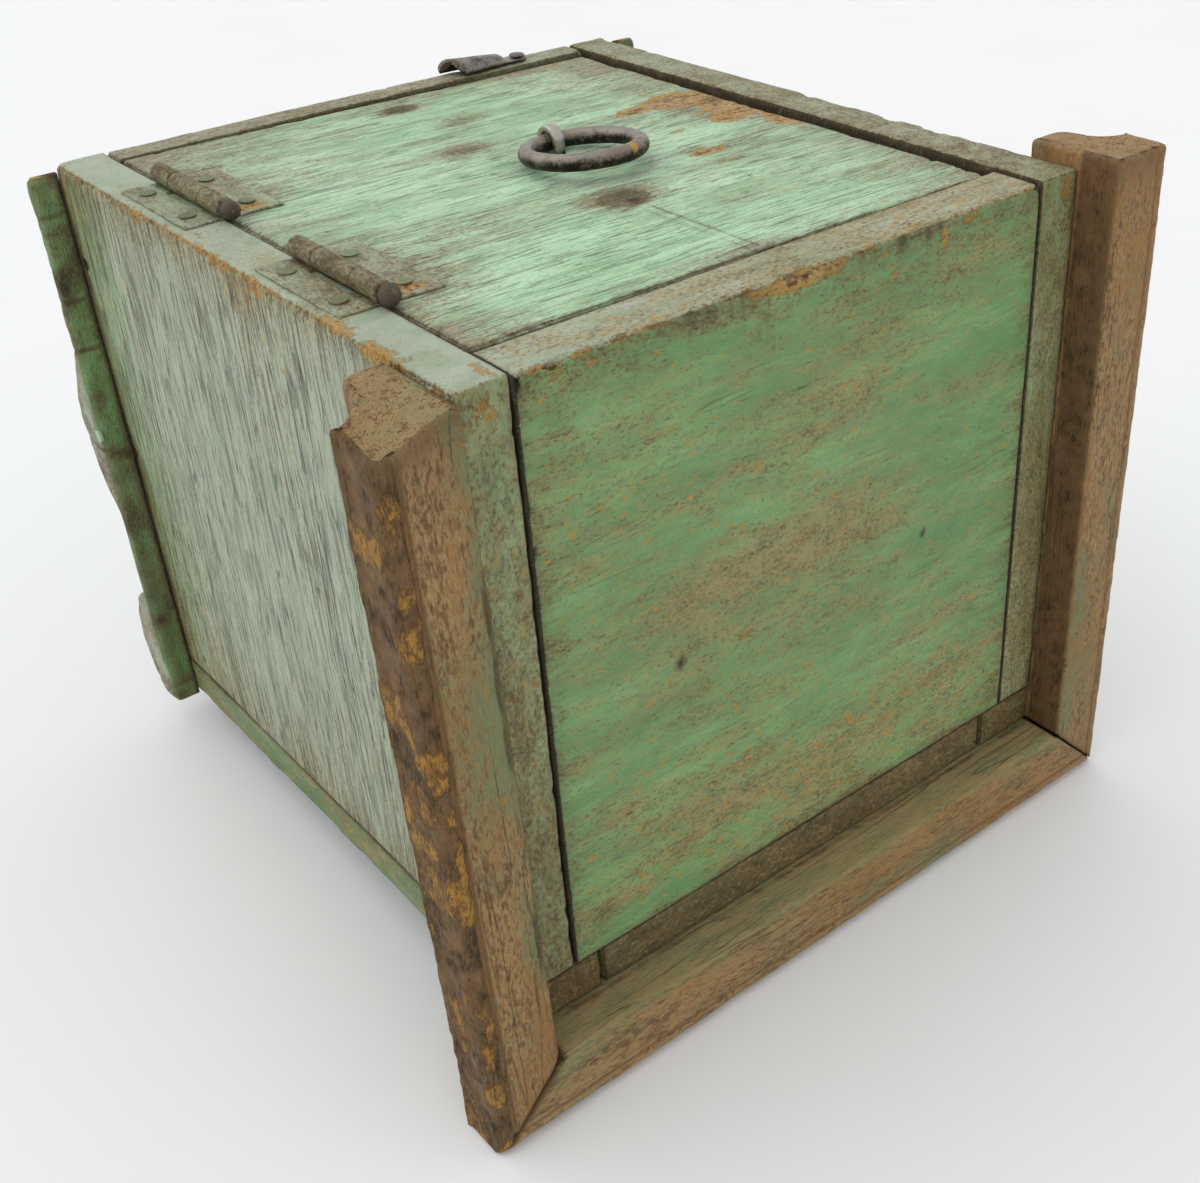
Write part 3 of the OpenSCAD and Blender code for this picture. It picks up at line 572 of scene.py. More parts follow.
def iron_finish(name, base, paint, cover, polish, shift):
    """Hand-worked iron with rust, hollows, rubbed highlights and a share of paint."""
    tones = bpy.context.scene.case_colours
    iron = Finish(name, shift)
    bare, grime_and_shade, fade, rub = (iron.mark(label) for label in MARKS[:4])
    cloud = iron.noise(6, 6, 0.68, warp=0.4) - 0.5
    grit = iron.noise(0.8, 3, 0.65, seed=1)
    uneven = cloud + (grit - 0.5) * 0.5
    # Rubbed places show the lighter iron. On the ring and the turn button the rub mark is low underneath, so
    # this also paints shade there and a highlight on the ring's top.
    colour = iron.mix(tones.iron_dark, base, iron.step(rub * 0.5 + uneven * 1.2, -0.05, 0.5))
    rusty = iron.step(iron.noise(3, 5, 0.7, warp=0.5, seed=2) + (grit - 0.5) * 0.3, 0.5, 0.66)
    colour = iron.mix(colour, tones.iron_rust, rusty * 0.45)
    painted = iron.step(cover + uneven * 1.3, 0.35, 0.65)
    colour = iron.mix(colour, paint, painted * 0.85)
    spot = iron.step(iron.noise(2.4, 4, 0.65, warp=0.4, seed=3) + bare * 0.4, 0.64, 0.7)
    colour = iron.mix(colour, tones.ochre, spot * 0.85)
    # Dirt, and on the undersides of the ring and the turn button painted shade.
    dirt_and_shade = iron.step(grime_and_shade + uneven, 0.25, 0.85)
    colour = iron.mix(colour, tones.grime_and_shade, dirt_and_shade * 0.85)
    dull = iron.step(rusty + painted + spot + dirt_and_shade + fade, 0.0, 1.2)
    rough = 0.3 + dull * 0.32 + grit * 0.18 - rub * 0.06
    height = cloud + grit * 0.4 + painted * 0.2
    return iron.close(colour, rough, height, 0.3, 0.4, (1 - dull) * polish)


def glass_finish(name):
    """Old clear glass with faint dust."""
    pane = Finish(name, (3, 1, 2))
    dust = pane.step(pane.noise(9, 5, 0.7), 0.45, 0.75)
    colour = pane.mix(srgb(214, 226, 220), srgb(176, 176, 160), dust * 0.5)
    pane.shader.inputs["Transmission Weight"].default_value = 1.0
    pane.shader.inputs["IOR"].default_value = 1.45
    return pane.close(colour, 0.06 + dust * 0.22, dust, 0.02)


# How the paint looks: size of pores and lines in millimetres, tone of the film, strength of the rest
GROOVED = {"pore": 0.9, "pore_run": 15, "pore_dark": 0.46, "groove": 0.9, "line": 2.4, "line_cover": 0.9,
           "line_dark": 0.62, "soil": "olive", "flecks": 0.4, "grit": 0.3, "gate": 0.3, "pore_at": -0.05,
           "uneven": 0.55}
LINED = {"pore": 0.65, "pore_run": 14, "pore_dark": 0.34, "groove": 0.6, "line": 2.2, "line_cover": 0.75,
         "line_dark": 0.5, "soil": "dust", "flecks": 0.35, "grit": 0.28, "gate": 0.8, "pore_at": -0.09,
         "uneven": 1}
SMEARED = {"pore": 0.8, "pore_run": 4, "pore_dark": 0.25, "groove": 0.3, "line": 3.0, "line_cover": 0.1,
           "line_dark": 0.3, "soil": "olive", "flecks": 0.85, "grit": 0.45, "gate": 1, "pore_at": -0.11,
           "uneven": 1}


# Pieces


class CASE_OT_boards(bpy.types.Operator):
    """Two side boards and two end boards of the carcass"""
    bl_idname = "case.boards"
    bl_label = "Carcass boards"

    # Worn and dirty places on the left board: middle, reach along the axes, strength
    left_worn = (((0, 89, 171), (3, 1.8, 7), 0.55), ((0, 150, 176), (3, 9, 2.5), 0.6),
                 ((0, 102, 176), (3, 9, 2.5), 0.6), ((0, 81, 175), (3, 8, 2.5), 0.6),
                 ((1, 46, 177), (4, 12, 2), 0.6), ((0, 28, 176), (4, 12, 3), 0.66),
                 ((8, 0, 170), (5, 4, 5), 0.5), ((11, 5, 177), (3, 6, 3), 0.5),
                 ((4, 121, 177), (2, 6, 2), 0.45))
    left_dirt = (((3, 57, 177), (2.5, 7, 2), 0.45), ((3, 71, 177), (2.5, 7, 2), 0.4),
                 ((4, 134, 177), (2.5, 7, 2), 0.45), ((0, 97, 169), (2, 1.2, 4), 0.8),
                 ((0, 66, 160), (2, 1.2, 4), 0.7), ((0, 81, 94), (1, 1.2, 1.5), 0.8),
                 ((0, 183, 19), (1, 1.5, 1.5), 0.9))
    # Places on the near face: across, up, reach in both directions, strength
    near_worn = ((72, 86, 12, 3, 0.3), (92, 92, 12, 4, 0.32), (113, 98, 12, 3, 0.3), (48, 137, 1.2, 5, 0.4),
                 (107, 133, 5, 2, 0.34), (58, 77, 14, 2, 0.34), (63, 18, 9, 2, 0.34), (160, 125, 4, 14, 0.3),
                 (100, 112, 30, 6, 0.22))
    near_holes = ((53, 88, 1.6, 2.2, 1.0), (137, 90, 1.4, 2.0, 0.95), (55, 90, 9, 3, 0.36))
    near_dirt = ((24, 24, 6, 5, 0.5), (172, 20, 7, 12, 0.42), (24, 160, 9, 12, 0.36), (172, 130, 5, 40, 0.3),
                 (18, 90, 4, 70, 0.3))
    near_rubbed = ((92, 100, 70, 30, 0.78), (70, 34, 60, 14, 0.62), (112, 148, 50, 14, 0.62),
                   (30, 60, 20, 30, 0.5), (20, 150, 14, 30, 0.6))

    def execute(self, context):
        self.sizes = context.scene.case_sizes
        tones = context.scene.case_colours
        sides = ((self.left_board, "left", (31, 7, 12)), (self.right_board, "right", (3, 57, 2)))
        for build, side, shift in sides:
            build(paint_finish(f"paint_on_{side}_side", "z", tones.fern, tones.leaf, GROOVED, shift))
        # The near end's darker jade and sage are partly its own tone, partly painted shade.
        self.near_board(paint_finish("paint_on_near_end", "x", tones.jade, tones.sage, SMEARED, (11, 3, 40)))
        self.far_board(paint_finish("paint_on_far_end", "x", tones.fern, tones.leaf, LINED, (5, 23, 61)))
        return {"FINISHED"}

    def board(self, node, radius, seed, stretch=(1, 1, 1)):
        """Worn board in the place of a CAD node."""
        low, high = span(node)
        dent = self.sizes.mm("dent")
        return Board(low, high, self.sizes.mm("step"), radius,
                     lambda p: (rough_noise(p, 26, seed, 3, stretch) - 0.5) * dent)

    def chipped(self, points, share, seed):
        """Radius of a worn edge with small chips, where share tells how worn the place is."""
        chips = np.clip(rough_noise(points, 5, seed + 1, 2) - 0.58, 0, None) * 9
        return 0.45 + share * self.sizes.mm("edge_wear") * (0.3 + rough_noise(points, 11, seed) + chips)

    def left_board(self, finish):
        def radius(p):
            seam = near_to(SIDE_T - p[:, 0], 2) * near_to(p[:, 1], 2) * rough_noise(p, 4, 7, 2) ** 3 * 5
            rim = near_to(p[:, 0], 3) * near_to(HEIGHT - p[:, 2], 3)
            return self.chipped(p, rim + 0.03 + 0.3 * seam, 3)

        board = self.board("left_side_board", radius, 5)
        p = board.flat
        lean = math.tan(self.sizes.trim_lean)
        top, outer, inner, foot = HEIGHT - p[:, 2], p[:, 0], SIDE_T - p[:, 0], p[:, 2] - FRAME_T
        on_top, on_side, on_end = near_to(top, 0.6), near_to(outer, 0.6), near_to(p[:, 1], 0.6)
        mould_low, mould_high = span("base_moulding_front")
        to_crest = span("crest_left")[0][1] + p[:, 2] * lean - p[:, 1]
        to_mould = p[:, 1] - mould_high[1] - (p[:, 2] - mould_low[2]) * lean
        rim = near_to(outer, 1.8) * near_to(top, 2.2)
        bare = most(rim * (0.15 + 0.75 * rough_noise(p, 12, 8, 3, (1, 1.8, 1))),
                    near_to(board.edge, 0.8) * 0.3, spots(p, self.left_worn))
        # Darker along the seam with the crest: dirt, and painted shade in that inside corner. The inner face
        # is dark as bare wood and dirt, and also as painted shade in the seams.
        grime_and_shade = most(near_to(to_crest, 2.6) * on_side * 0.9, near_to(to_mould, 2.0) * on_side * 0.55,
                     near_to(foot, 1.8) * 0.6, near_to(inner, 0.5) * 1.3, on_top * 0.05,
                     on_side * near_to(top - 2, 7) * 0.3, spots(p, self.left_dirt), on_end * 0.38)
        # The left face grows paler away from the crest: partly faded paint, partly a painted sheen of the
        # light.
        green = np.clip(1 - to_crest / 34, 0, 1)
        fade = np.where(on_side > 0.5, 0.78 - 0.5 * green, np.where(on_top > 0.5, 0.75, 0.0))
        stain = 0.4 * near_to(to_crest, 8) + 0.45 * near_to(top, 9) + 0.35 * near_to(foot, 30)
        soiled = 0.65 * rough_noise(p, 9, 10, 3, (1, 2, 1)) - 0.05
        rub = most(on_side * (0.22 + stain), on_top * soiled, on_end * 0.58)
        marks = {"bare": bare, "grime_and_shade": grime_and_shade * (1 - 0.7 * bare), "fade": fade, "rub": rub, "grain": on_side}
        make_piece("left_side_board", board.points, board.faces, marks, finish, "case")

    def right_board(self, finish):
        low, high = span("right_side_board")
        worn = [((high[0] - 8, 30, high[2]), (5, 14, 3), 0.4),
                ((high[0] - 5, 0, high[2] - 4), (4, 3, 6), 0.5)]

        def radius(p):
            return self.chipped(p, 0.45 * near_to(high[2] - p[:, 2], 3) + 0.08, 13)

        board = self.board("right_side_board", radius, 15)
        p = board.flat
        top, inner, outer = high[2] - p[:, 2], p[:, 0] - low[0], high[0] - p[:, 0]
        on_top, on_end = near_to(top, 0.6), near_to(p[:, 1], 0.6)
        bare = most(near_to(inner, 1.0) * near_to(top, 8) * 0.62,
                    near_to(board.edge, 1.0) * near_to(top, 3) * 0.4, spots(p, worn))
        # The inner face above the lid is darkened as dirt and bare wood, and also as painted shade in the gap
        # beside the lid.
        grime_and_shade = most(on_top * 0.36, near_to(outer, 2.2) * on_end * 0.95,
                     near_to(board.edge, 1.0) * on_end * 0.6, near_to(p[:, 2] - low[2], 2) * 0.6,
                     near_to(inner, 0.6) * 0.9, on_end * 0.34)
        marks = {"bare": bare, "grime_and_shade": grime_and_shade, "fade": np.where(on_top > 0.5, 0.7, 0.4 - 0.3 * on_end),
                 "rub": most(on_top * 0.6, on_end * 0.6, 0.25), "grain": near_to(outer, 0.6) * (1 - on_end)}
        make_piece("right_side_board", board.points, board.faces, marks, finish, "case")

    def near_board(self, finish):
        low, high = span("near_end_board")
        top_z = high[2]
        broken = face_marks(1, 0, 4, [(140, top_z, 4, 6, 0.6)])
        broken += face_marks(1, 0, 5, ((92, top_z, 19, 5, 0.9), (25, top_z, 8, 5, 0.6),
                                       (16, top_z, 7, 6, 1.2)))
        chips = ((92, top_z - 1.5, 19, 3.2, 0.85), (25, top_z - 3, 5, 4, 0.55), (140, top_z - 4, 2, 5, 0.7),
                 (47, top_z - 2, 7, 2, 0.45), (150, top_z - 2, 6, 2, 0.45))
        smudge = (120, top_z - 12, 30, 8, 0.36)

        def radius(p):
            rim = near_to(p[:, 1], 3) * near_to(top_z - p[:, 2], 3)
            seam = near_to(p[:, 0] - low[0], 2) * near_to(p[:, 1], 2) * rough_noise(p, 4, 9, 2) ** 3 * 5
            return self.chipped(p, rim * (0.8 + spots(p, broken)) + 0.03 + 0.3 * seam, 23)

        board = self.board("near_end_board", radius, 25, (2, 1, 1))
        p = board.flat
        top, front = top_z - p[:, 2], p[:, 1]
        sides = np.minimum(p[:, 0] - low[0], high[0] - p[:, 0])
        on_face, on_top = near_to(front, 0.6), near_to(top, 0.6)
        rim = near_to(front, 2.0) * near_to(top, 2.4)
        drips = soft_noise(p * [1, 0, 0], 2.4, 27) * near_to(top, 7)
        dark_drips = soft_noise(p * [1, 0, 0], 1.8, 29) ** 2 * near_to(top, 8)
        worn = spots(p, face_marks(1, 0, 4, chips + self.near_worn))
        bare = most(rim * (0.15 + 0.6 * rough_noise(p, 12, 28, 3, (2, 1, 1))), on_face * drips * 0.42,
                    near_to(front, 3) * worn)
        # The side faces in the seams with the side boards are darkened as dirt and also as painted shade.
        grime_and_shade = most(near_to(board.edge, 1.2) * 0.6, near_to(p[:, 2] - low[2], 7) * on_face * 0.46,
                     on_top * 0.16, near_to(sides, 0.5) * 1.3, near_to(sides, 9) * on_face * 0.42,
                     near_to(high[1] - front, 0.6) * 0.75, on_face * near_to(top - 2, 10) * 0.5,
                     on_face * dark_drips * 1.1, spots(p, face_marks(1, 0, 3, self.near_holes)),
                     spots(p, face_marks(1, 0, 4, (smudge, *self.near_dirt))))
        rub = most(on_face * 0.42, on_top * (0.4 + 0.4 * p[:, 0] / WIDTH),
                   on_face * spots(p, face_marks(1, 0, 6, self.near_rubbed)))
        marks = {"bare": bare, "grime_and_shade": grime_and_shade * (1 - 0.7 * bare), "fade": np.where(on_top > 0.5, 0.8, 0.05),
                 "rub": rub, "grain": on_face}
        make_piece("near_end_board", board.points, board.faces, marks, finish, "case")

    def far_board(self, finish):
        board = self.board("far_end_board", lambda p: self.chipped(p, 0.4, 33), 35)
        p = board.flat
        on_top = near_to(HEIGHT - p[:, 2], 0.6)
        inside = near_to(p[:, 1] - span("far_end_board")[0][1], 0.6)
        bare = near_to(board.edge, 1.4) * (0.1 + 0.5 * rough_noise(p, 12, 38))
        grime_and_shade = most(near_to(board.edge, 1.2) * 0.5, on_top * 0.25, inside * 0.75)
        marks = {"bare": bare, "grime_and_shade": grime_and_shade, "fade": np.where(on_top > 0.5, 0.6, 0.3),
                 "rub": most(on_top * 0.7, 0.35)}
        make_piece("far_end_board", board.points, board.faces, marks, finish, "case")


class CASE_OT_front_frame(bpy.types.Operator):
    """Stiles and rails of the front frame"""
    bl_idname = "case.front_frame"
    bl_label = "Front frame"

    def execute(self, context):
        sizes, tones = context.scene.case_sizes, context.scene.case_colours
        stile = paint_finish("paint_on_stiles", "y", tones.leaf, tones.moss, SMEARED, (71, 3, 22))
        rail = paint_finish("paint_on_rails", "x", tones.leaf, tones.moss, SMEARED, (17, 43, 9))
        dent = sizes.mm("dent")
        bars = (("front_stile_left", stile, 41), ("front_stile_right", stile, 48),
                ("front_rail_near", rail, 55), ("front_rail_far", rail, 62))
        for node, finish, seed in bars:
            bar = Board(*span(node), sizes.mm("step") * 1.2, lambda p: 0.7 + 1.3 * rough_noise(p, 7, seed),
                        lambda p: (rough_noise(p, 12, seed + 2) - 0.5) * dent)
            p = bar.flat
            on_end = near_to(p[:, 1], 0.6)
            grime_and_shade = most(near_to(bar.edge, 1.6) * 0.9, on_end * 0.58, near_to(FRAME_T - p[:, 2], 1.5) * 0.6)
            bare = near_to(bar.edge, 1.2) * (0.15 + 0.5 * rough_noise(p, 9, seed + 4))
            if finish is stile:
                bare = most(bare, on_end * 0.42)
            marks = {"bare": bare, "grime_and_shade": grime_and_shade, "fade": 0.2 - 0.2 * on_end,
                     "rub": most(0.45, on_end * 1.1)}
            make_piece(node, bar.points, bar.faces, marks, finish, "case")
        return {"FINISHED"}


class CASE_OT_glazing(bpy.types.Operator):
    """Window glass, glazing beads and lid stop"""
    bl_idname = "case.glazing"
    bl_label = "Glazing"

    def execute(self, context):
        dress_node("window_glass", glass_finish("old_glass"))
        across = wood_finish("bare_wood_across", "x", (9, 1, 5))
        lengthwise = wood_finish("bare_wood_lengthwise", "y", (4, 8, 2))
        for node in ("glazing_bead_near", "glazing_bead_far"):
            dress_node(node, across)
        for node in ("glazing_bead_left", "glazing_bead_right", "lid_stop"):
            dress_node(node, lengthwise)
        return {"FINISHED"}


class CASE_OT_base_moulding(bpy.types.Operator):
    """Three lengths of mitred base moulding"""
    bl_idname = "case.base_moulding"
    bl_label = "Base moulding"

    # Size of the corner that is worn off the left moulding: across, along the case, down
    worn_corner = (13, 17, 6.5)
    # Place in the section from which its whole outline is seen
    hub = np.array([8.0, 8.0])
    # Half of the open mitre
    mitre_gap = 0.7
    # Places of bites in the near inner edge of the left moulding
    bites = (128, 112, 96, 40)
    # Breadth of the flaked face of the left moulding, from its near face
    flaked = 14
    # Crust on the face beside the carcass, paint left near that edge, bare wood on the edge itself
    looks = {"base_moulding_left": (0.4, 0.5, 0), "base_moulding_right": (0.55, 0.1, 0.4),
             "base_moulding_front": (0.02, 0.5, 0)}

    def execute(self, context):
        sizes = context.scene.case_sizes
        front_low, front_high = span("base_moulding_front")
        self.proj, self.reach = -front_low[1], -front_low[2]
        self.depth = front_high[1] - front_low[1]
        self.lean = math.tan(sizes.trim_lean)
        self.groove, self.back = sizes.mm("groove_at"), self.depth - sizes.mm("bead_r")
        upright = wood_finish("bare_moulding_upright", "z", (2, 5, 9))
        lying = wood_finish("bare_moulding_lying", "x", (23, 11, 4))
        outline = self.section(sizes)
        for node, finish, seed in (("base_moulding_left", upright, 3), ("base_moulding_right", upright, 31),
                                   ("base_moulding_front", lying, 57)):
            self.run(node, outline, finish, seed)
        return {"FINISHED"}

    def section(self, sizes):
        """Outline of the moulding: distance from its near face, distance from the carcass."""
        def arc(u, w, r, start, stop, count):
            turn = np.radians(np.linspace(start, stop, count))
            return np.column_stack([u + r * np.cos(turn), w + r * np.sin(turn)])

        def line(first, last, count):
            return np.linspace(first, last, count, endpoint=False)

        corner, cove, bead = (sizes.mm(name) for name in ("corner_r", "cove_r", "bead_r"))
        reach, back, depth, groove = self.reach, self.back, self.depth, self.groove
        scratch = [(0, groove), (0.35, groove + 0.2), (0.6, groove + 0.45), (0.3, groove + 0.8)]
        return np.vstack([
            line((0, 0.3), (0, groove), 16), scratch, arc(corner, reach - corner, corner, 178, 92, 10),
            line((corner + 0.6, reach), (back - cove - 0.3, reach), 10), arc(back, reach, cove, 178, 268, 13),
            arc(back, reach - cove - bead, bead, 88, 2, 9), line((depth, bead), (depth, 0.3), 5),
            line((depth - 0.3, 0), (0.3, 0), 22)])

    def place(self, node, u, w, s):
        """Point of a moulding from its section and the distance along it."""
        if node == "base_moulding_left":
            return np.column_stack([-w, u - self.proj + (s + self.reach) * self.lean, s])
        if node == "base_moulding_right":
            return np.column_stack([WIDTH + w, u - self.proj, s])
        return np.column_stack([s, u - self.proj, -w])

    def ends(self, node, u, w):
        """Where a moulding starts and stops, for points of its section."""
        if node == "base_moulding_front":
            return -w + self.mitre_gap, WIDTH + w - self.mitre_gap
        stop = np.full(len(w), span(node)[1][2])
        if node == "base_moulding_left":
            across, back, down = self.worn_corner
            stop = stop - 0.3 - down * np.exp(-((self.reach - w) / across) ** 2 - (u / back) ** 2)
        return -w, stop

    def run(self, node, outline, finish, seed):
        """One length of moulding with lumps, dents, worn ends and a scratched, broken outer strip."""
        upright, left = node != "base_moulding_front", node == "base_moulding_left"
        ease = np.linspace(0, 0.012, 6)
        share = np.concatenate([ease[:-1], np.linspace(0.012, 0.988, 150), 1 - ease[-2::-1]])
        along = np.concatenate([np.zeros(len(CAP)), share, np.ones(len(CAP))])
        shrink = np.concatenate([CAP, np.ones(len(share)), CAP[::-1]])
        rows, count = len(along), len(outline)
        u, w = (self.hub + (outline - self.hub) * shrink[:, None, None]).reshape(-1, 2).T
        start, stop = self.ends(node, u, w)
        s = start + np.repeat(along, count) * (stop - start)
        flat = np.column_stack([u, w, s])
        body = np.repeat(shrink, count) == 1
        on_end = ~body & (np.repeat(along, count) == 1)
        step = np.roll(outline, -1, 0) - np.roll(outline, 1, 0)
        normal = np.column_stack([-step[:, 1], step[:, 0]]) / np.linalg.norm(step, axis=1, keepdims=True)
        normal_u, normal_w = np.tile(normal, (rows, 1)).T
        strip = near_to(self.groove + 0.8 - w, 0.3) * near_to(u - self.flaked, 2) * left * body
        inner_face = (w < 0.2) & (u < self.proj)
        hidden = (w < 0.2) & ~inner_face
        patch = np.clip((rough_noise(flat, 10, seed + 1, 4) - 0.42) * 4, 0, 1)
        arris = near_to(np.hypot(u, w), 1.4)
        lump = (rough_noise(flat, 11, seed) - 0.5) * 0.5 + (rough_noise(flat, 2.6, seed + 4, 2) - 0.5) * 0.4
        lump = lump - 0.7 * strip * (1 - patch) - arris * (0.3 + 1.2 * rough_noise(flat, 8, seed + 9))
        if left:
            bitten = spots(flat, [((0, 0, at), (9, 9, 7), 1.5) for at in self.bites])
            lump = lump - near_to(np.hypot(u, w), 2.6) * bitten
        crud = np.clip((rough_noise(flat, 5, seed + 6) - 0.42) * 2.4 * near_to(self.proj - u, 9), -0.2, 1.6)
        lump = np.where(inner_face & upright, crud, np.where(hidden, -0.02, lump))
        worn = 1.5 if upright else 0.8
        cut = np.clip(worn - np.minimum(stop - s, s - start + (0.8 if upright else 0)), 0, None)
        lump = (lump - worn + np.sqrt(np.clip(worn ** 2 - cut ** 2, 0, None))) * body
        rough_end = (rough_noise(flat * [1, 1, 0], 5, seed + 8) - 0.6) * on_end * upright
        points = self.place(node, u + normal_u * lump, w + normal_w * lump, s + rough_end)
        loops = points.reshape(rows, count, 3)
        order = np.arange(len(points)).reshape(rows, count)
        if left:
            loops, order = loops[:, ::-1], order[:, ::-1]
        skin, faces = skin_loops(loops)
        at = SimpleNamespace(flat=flat, start=start, stop=stop, body=body, on_end=on_end, strip=strip,
                             patch=patch, arris=arris, inner_face=inner_face)
        spread = {label: values[order.ravel()] for label, values in self.marks(node, seed, at).items()}
        make_piece(node, skin, faces, spread, finish, "case")

    def marks(self, node, seed, at):
        """Wear, dirt and left paint at the points of one length."""
        u, w, s = at.flat.T
        upright = node != "base_moulding_front"
        crusted, green_edge, bare_edge = self.looks[node]
        scratch = near_to(np.abs(w - self.groove - 0.3), 0.4) * near_to(u, 0.8)
        crust = at.inner_face * (0.6 + 0.7 * rough_noise(at.flat, 2.5, seed + 16))
        crack = at.inner_face * near_to(self.proj - u, 1.3) * (0.4 + 1.2 * rough_noise(at.flat, 3, seed + 18))
        grime_and_shade = most(at.strip * (0.18 + 0.75 * rough_noise(at.flat, 3, seed + 14)), scratch * 0.8,
                     crust * crusted, near_to(s - at.start, 1.2) * 0.6,
                     near_to(np.abs(u - self.back), 1.2) * 0.4, crack * (not upright),
                     near_to(u, 1) * near_to(at.stop - s - 2, 9) * 0.32 * upright)
        green = rough_noise(at.flat, 24, seed + 12, 3, (1, 1, 2)) * 0.9 - 0.15 + green_edge * near_to(w, 6)
        beside = -0.3 * at.inner_face if upright else 0.05 + 0.42 * at.inner_face
        rub = most(near_to(at.stop - s, 3) * 0.6 * upright, at.arris * 0.7,
                   near_to(self.reach - w, 0.5) * 0.5, at.on_end * 0.8,
                   (0.5 + 0.2 * at.inner_face) * (not upright))
        return {"bare": most(at.strip * at.patch * 0.78, at.on_end * 0.4, at.arris * bare_edge),
                "grime_and_shade": grime_and_shade * ~at.on_end, "fade": green + beside + at.on_end * 0.2, "rub": rub,
                "grain": at.body * 1.0}


class CASE_OT_crest(bpy.types.Operator):
    """Three lobed crest strips"""
    bl_idname = "case.crest"
    bl_label = "Crest strips"

    def execute(self, context):
        sizes, tones = context.scene.case_sizes, context.scene.case_colours
        self.band, self.horn_h, self.horn_w = (sizes.mm(name) for name in ("crest_band", "horn_h", "horn_w"))
        self.lean = math.tan(sizes.trim_lean)
        upright = paint_finish("paint_on_crest", "z", tones.jade, tones.moss, LINED, (6, 2, 81))
        lying = paint_finish("paint_on_front_crest", "x", tones.jade, tones.moss, LINED, (16, 22, 8))
        spread = np.sin(np.linspace(-np.pi / 2, np.pi / 2, 44)) / 2 + 0.5
        for node, seed in (("crest_left", 71), ("crest_right", 83)):
            low, high = span(node)
            horn = low[2] + spread * self.horn_w
            s = np.concatenate([horn, np.linspace(horn[-1], high[2], 110)[1:]])
            lobe = self.lobe(s, sizes.mm("lobe_at"), sizes.mm("lobe_half"), sizes.mm("lobe_h"))
            self.strip(node, s, np.maximum(self.horn(s, low[2]), lobe), high[0] - low[0], 3.0, upright, seed)
        low, high = span("crest_front")
        far_horn = high[0] - self.horn_w
        horns = [low[0] + spread * self.horn_w, far_horn + spread * self.horn_w]
        s = np.concatenate([horns[0], np.linspace(horns[0][-1], far_horn, 90)[1:-1], horns[1]])
        lobe = self.lobe(s, WIDTH / 2, sizes.mm("front_lobe_half"), sizes.mm("front_lobe_h"))
        heights = np.maximum.reduce([self.horn(s, low[0]), self.horn(s, far_horn), lobe])
        self.strip("crest_front", s, heights, high[2] - low[2], 1.5, lying, 97)
        return {"FINISHED"}

    def horn(self, s, start):
        """Height of a round horn along a strip."""
        across = np.clip((s - start) / self.horn_w * 2 - 1, -1, 1)
        return self.band + (self.horn_h - self.band) * np.sqrt(1 - across ** 2)

    def lobe(self, s, middle, half, height):
        """Height of a soft lobe along a strip."""
        wave = np.clip((s - middle) / half, -1, 1)
        return self.band + (height - self.band) * ((1 + np.cos(np.pi * wave)) / 2) ** 0.75

    @staticmethod
    def loop(high, thick, near_r, far_r):
        """Section of a strip: thickness outwards, height from its near edge."""
        far_r = min(far_r, high * 0.45, thick * 0.45)
        near_r = min(near_r, high * 0.5)
        turn = np.radians(np.linspace(0, 90, 6))
        near = np.column_stack([thick - near_r + near_r * np.sin(turn), near_r - near_r * np.cos(turn)])
        far = np.column_stack([thick - far_r + far_r * np.cos(turn), high - far_r + far_r * np.sin(turn)])
        foot = np.linspace((0.3, 0), (thick - near_r, 0), 6, endpoint=False)
        outer = np.linspace((thick, near_r), (thick, high - far_r), 8)[1:-1]
        top = np.linspace((thick - far_r, high), (0.3, high), 6)[1:]
        inner = np.linspace((0, high - 0.3), (0, 0.3), 7)
        return np.vstack([foot, near, outer, far, top, inner])

    def place(self, node, out, height, s):
        """Point of a strip from its section and the distance along it."""
        near_edge = span("crest_right")[0][1]
        if node == "crest_left":
            return np.column_stack([-out, near_edge + height + s * self.lean, s])
        if node == "crest_right":
            return np.column_stack([WIDTH + out, near_edge + height, s])
        return np.column_stack([s, near_edge + height, -out])

    def strip(self, node, s, heights, thick, near_r, finish, seed):
        """One strip with softened ends, lumps and cross cracks."""
        gap = np.minimum(s - s[0], s[-1] - s)
        shrink = 1 - 0.3 * np.clip(1 - gap / 2.2, 0, 1) ** 2
        section = np.stack([self.loop(high * part, thick * (0.5 + 0.5 * part), near_r, 2.0)
                            for high, part in zip(heights, shrink)])
        count = section.shape[1]
        out, high = section.reshape(-1, 2).T
        along, ending = np.repeat(s, count), np.repeat(gap, count)
        flat = np.column_stack([out, high, along])
        crack = near_to(np.abs(soft_noise(flat * [0.2, 0.2, 1], 8, seed + 5) - 0.5), 0.045)
        lump = (rough_noise(flat, 9, seed) - 0.5) * 0.8 - crack * 0.4
        lump = lump + (rough_noise(flat, 3, seed + 2, 2) - 0.5) * 0.3
        near_face = high < 0.3
        moved_out = out + np.where((out > 0.4) & ~near_face, lump, 0)
        moved_high = high - np.where(near_face & (out > 0.4), np.minimum(lump, 0.1) * 0.6, 0)
        points = self.place(node, moved_out, moved_high, along)
        loops = points.reshape(len(s), count, 3)
        order = np.arange(len(points)).reshape(len(s), count)
        if node != "crest_right":
            loops, order = loops[:, ::-1], order[:, ::-1]
        skin, faces = skin_loops(capped(loops))
        far_rim = near_to(np.abs(high - np.repeat(heights, count)), 1.2)
        near_rim = near_to(np.hypot(high, thick - out), 2.0)
        dirt_and_shade = 0.5 * rough_noise(flat, 16, seed + 7) ** 2 + 0.9 * rough_noise(flat, 6, seed + 8) ** 2
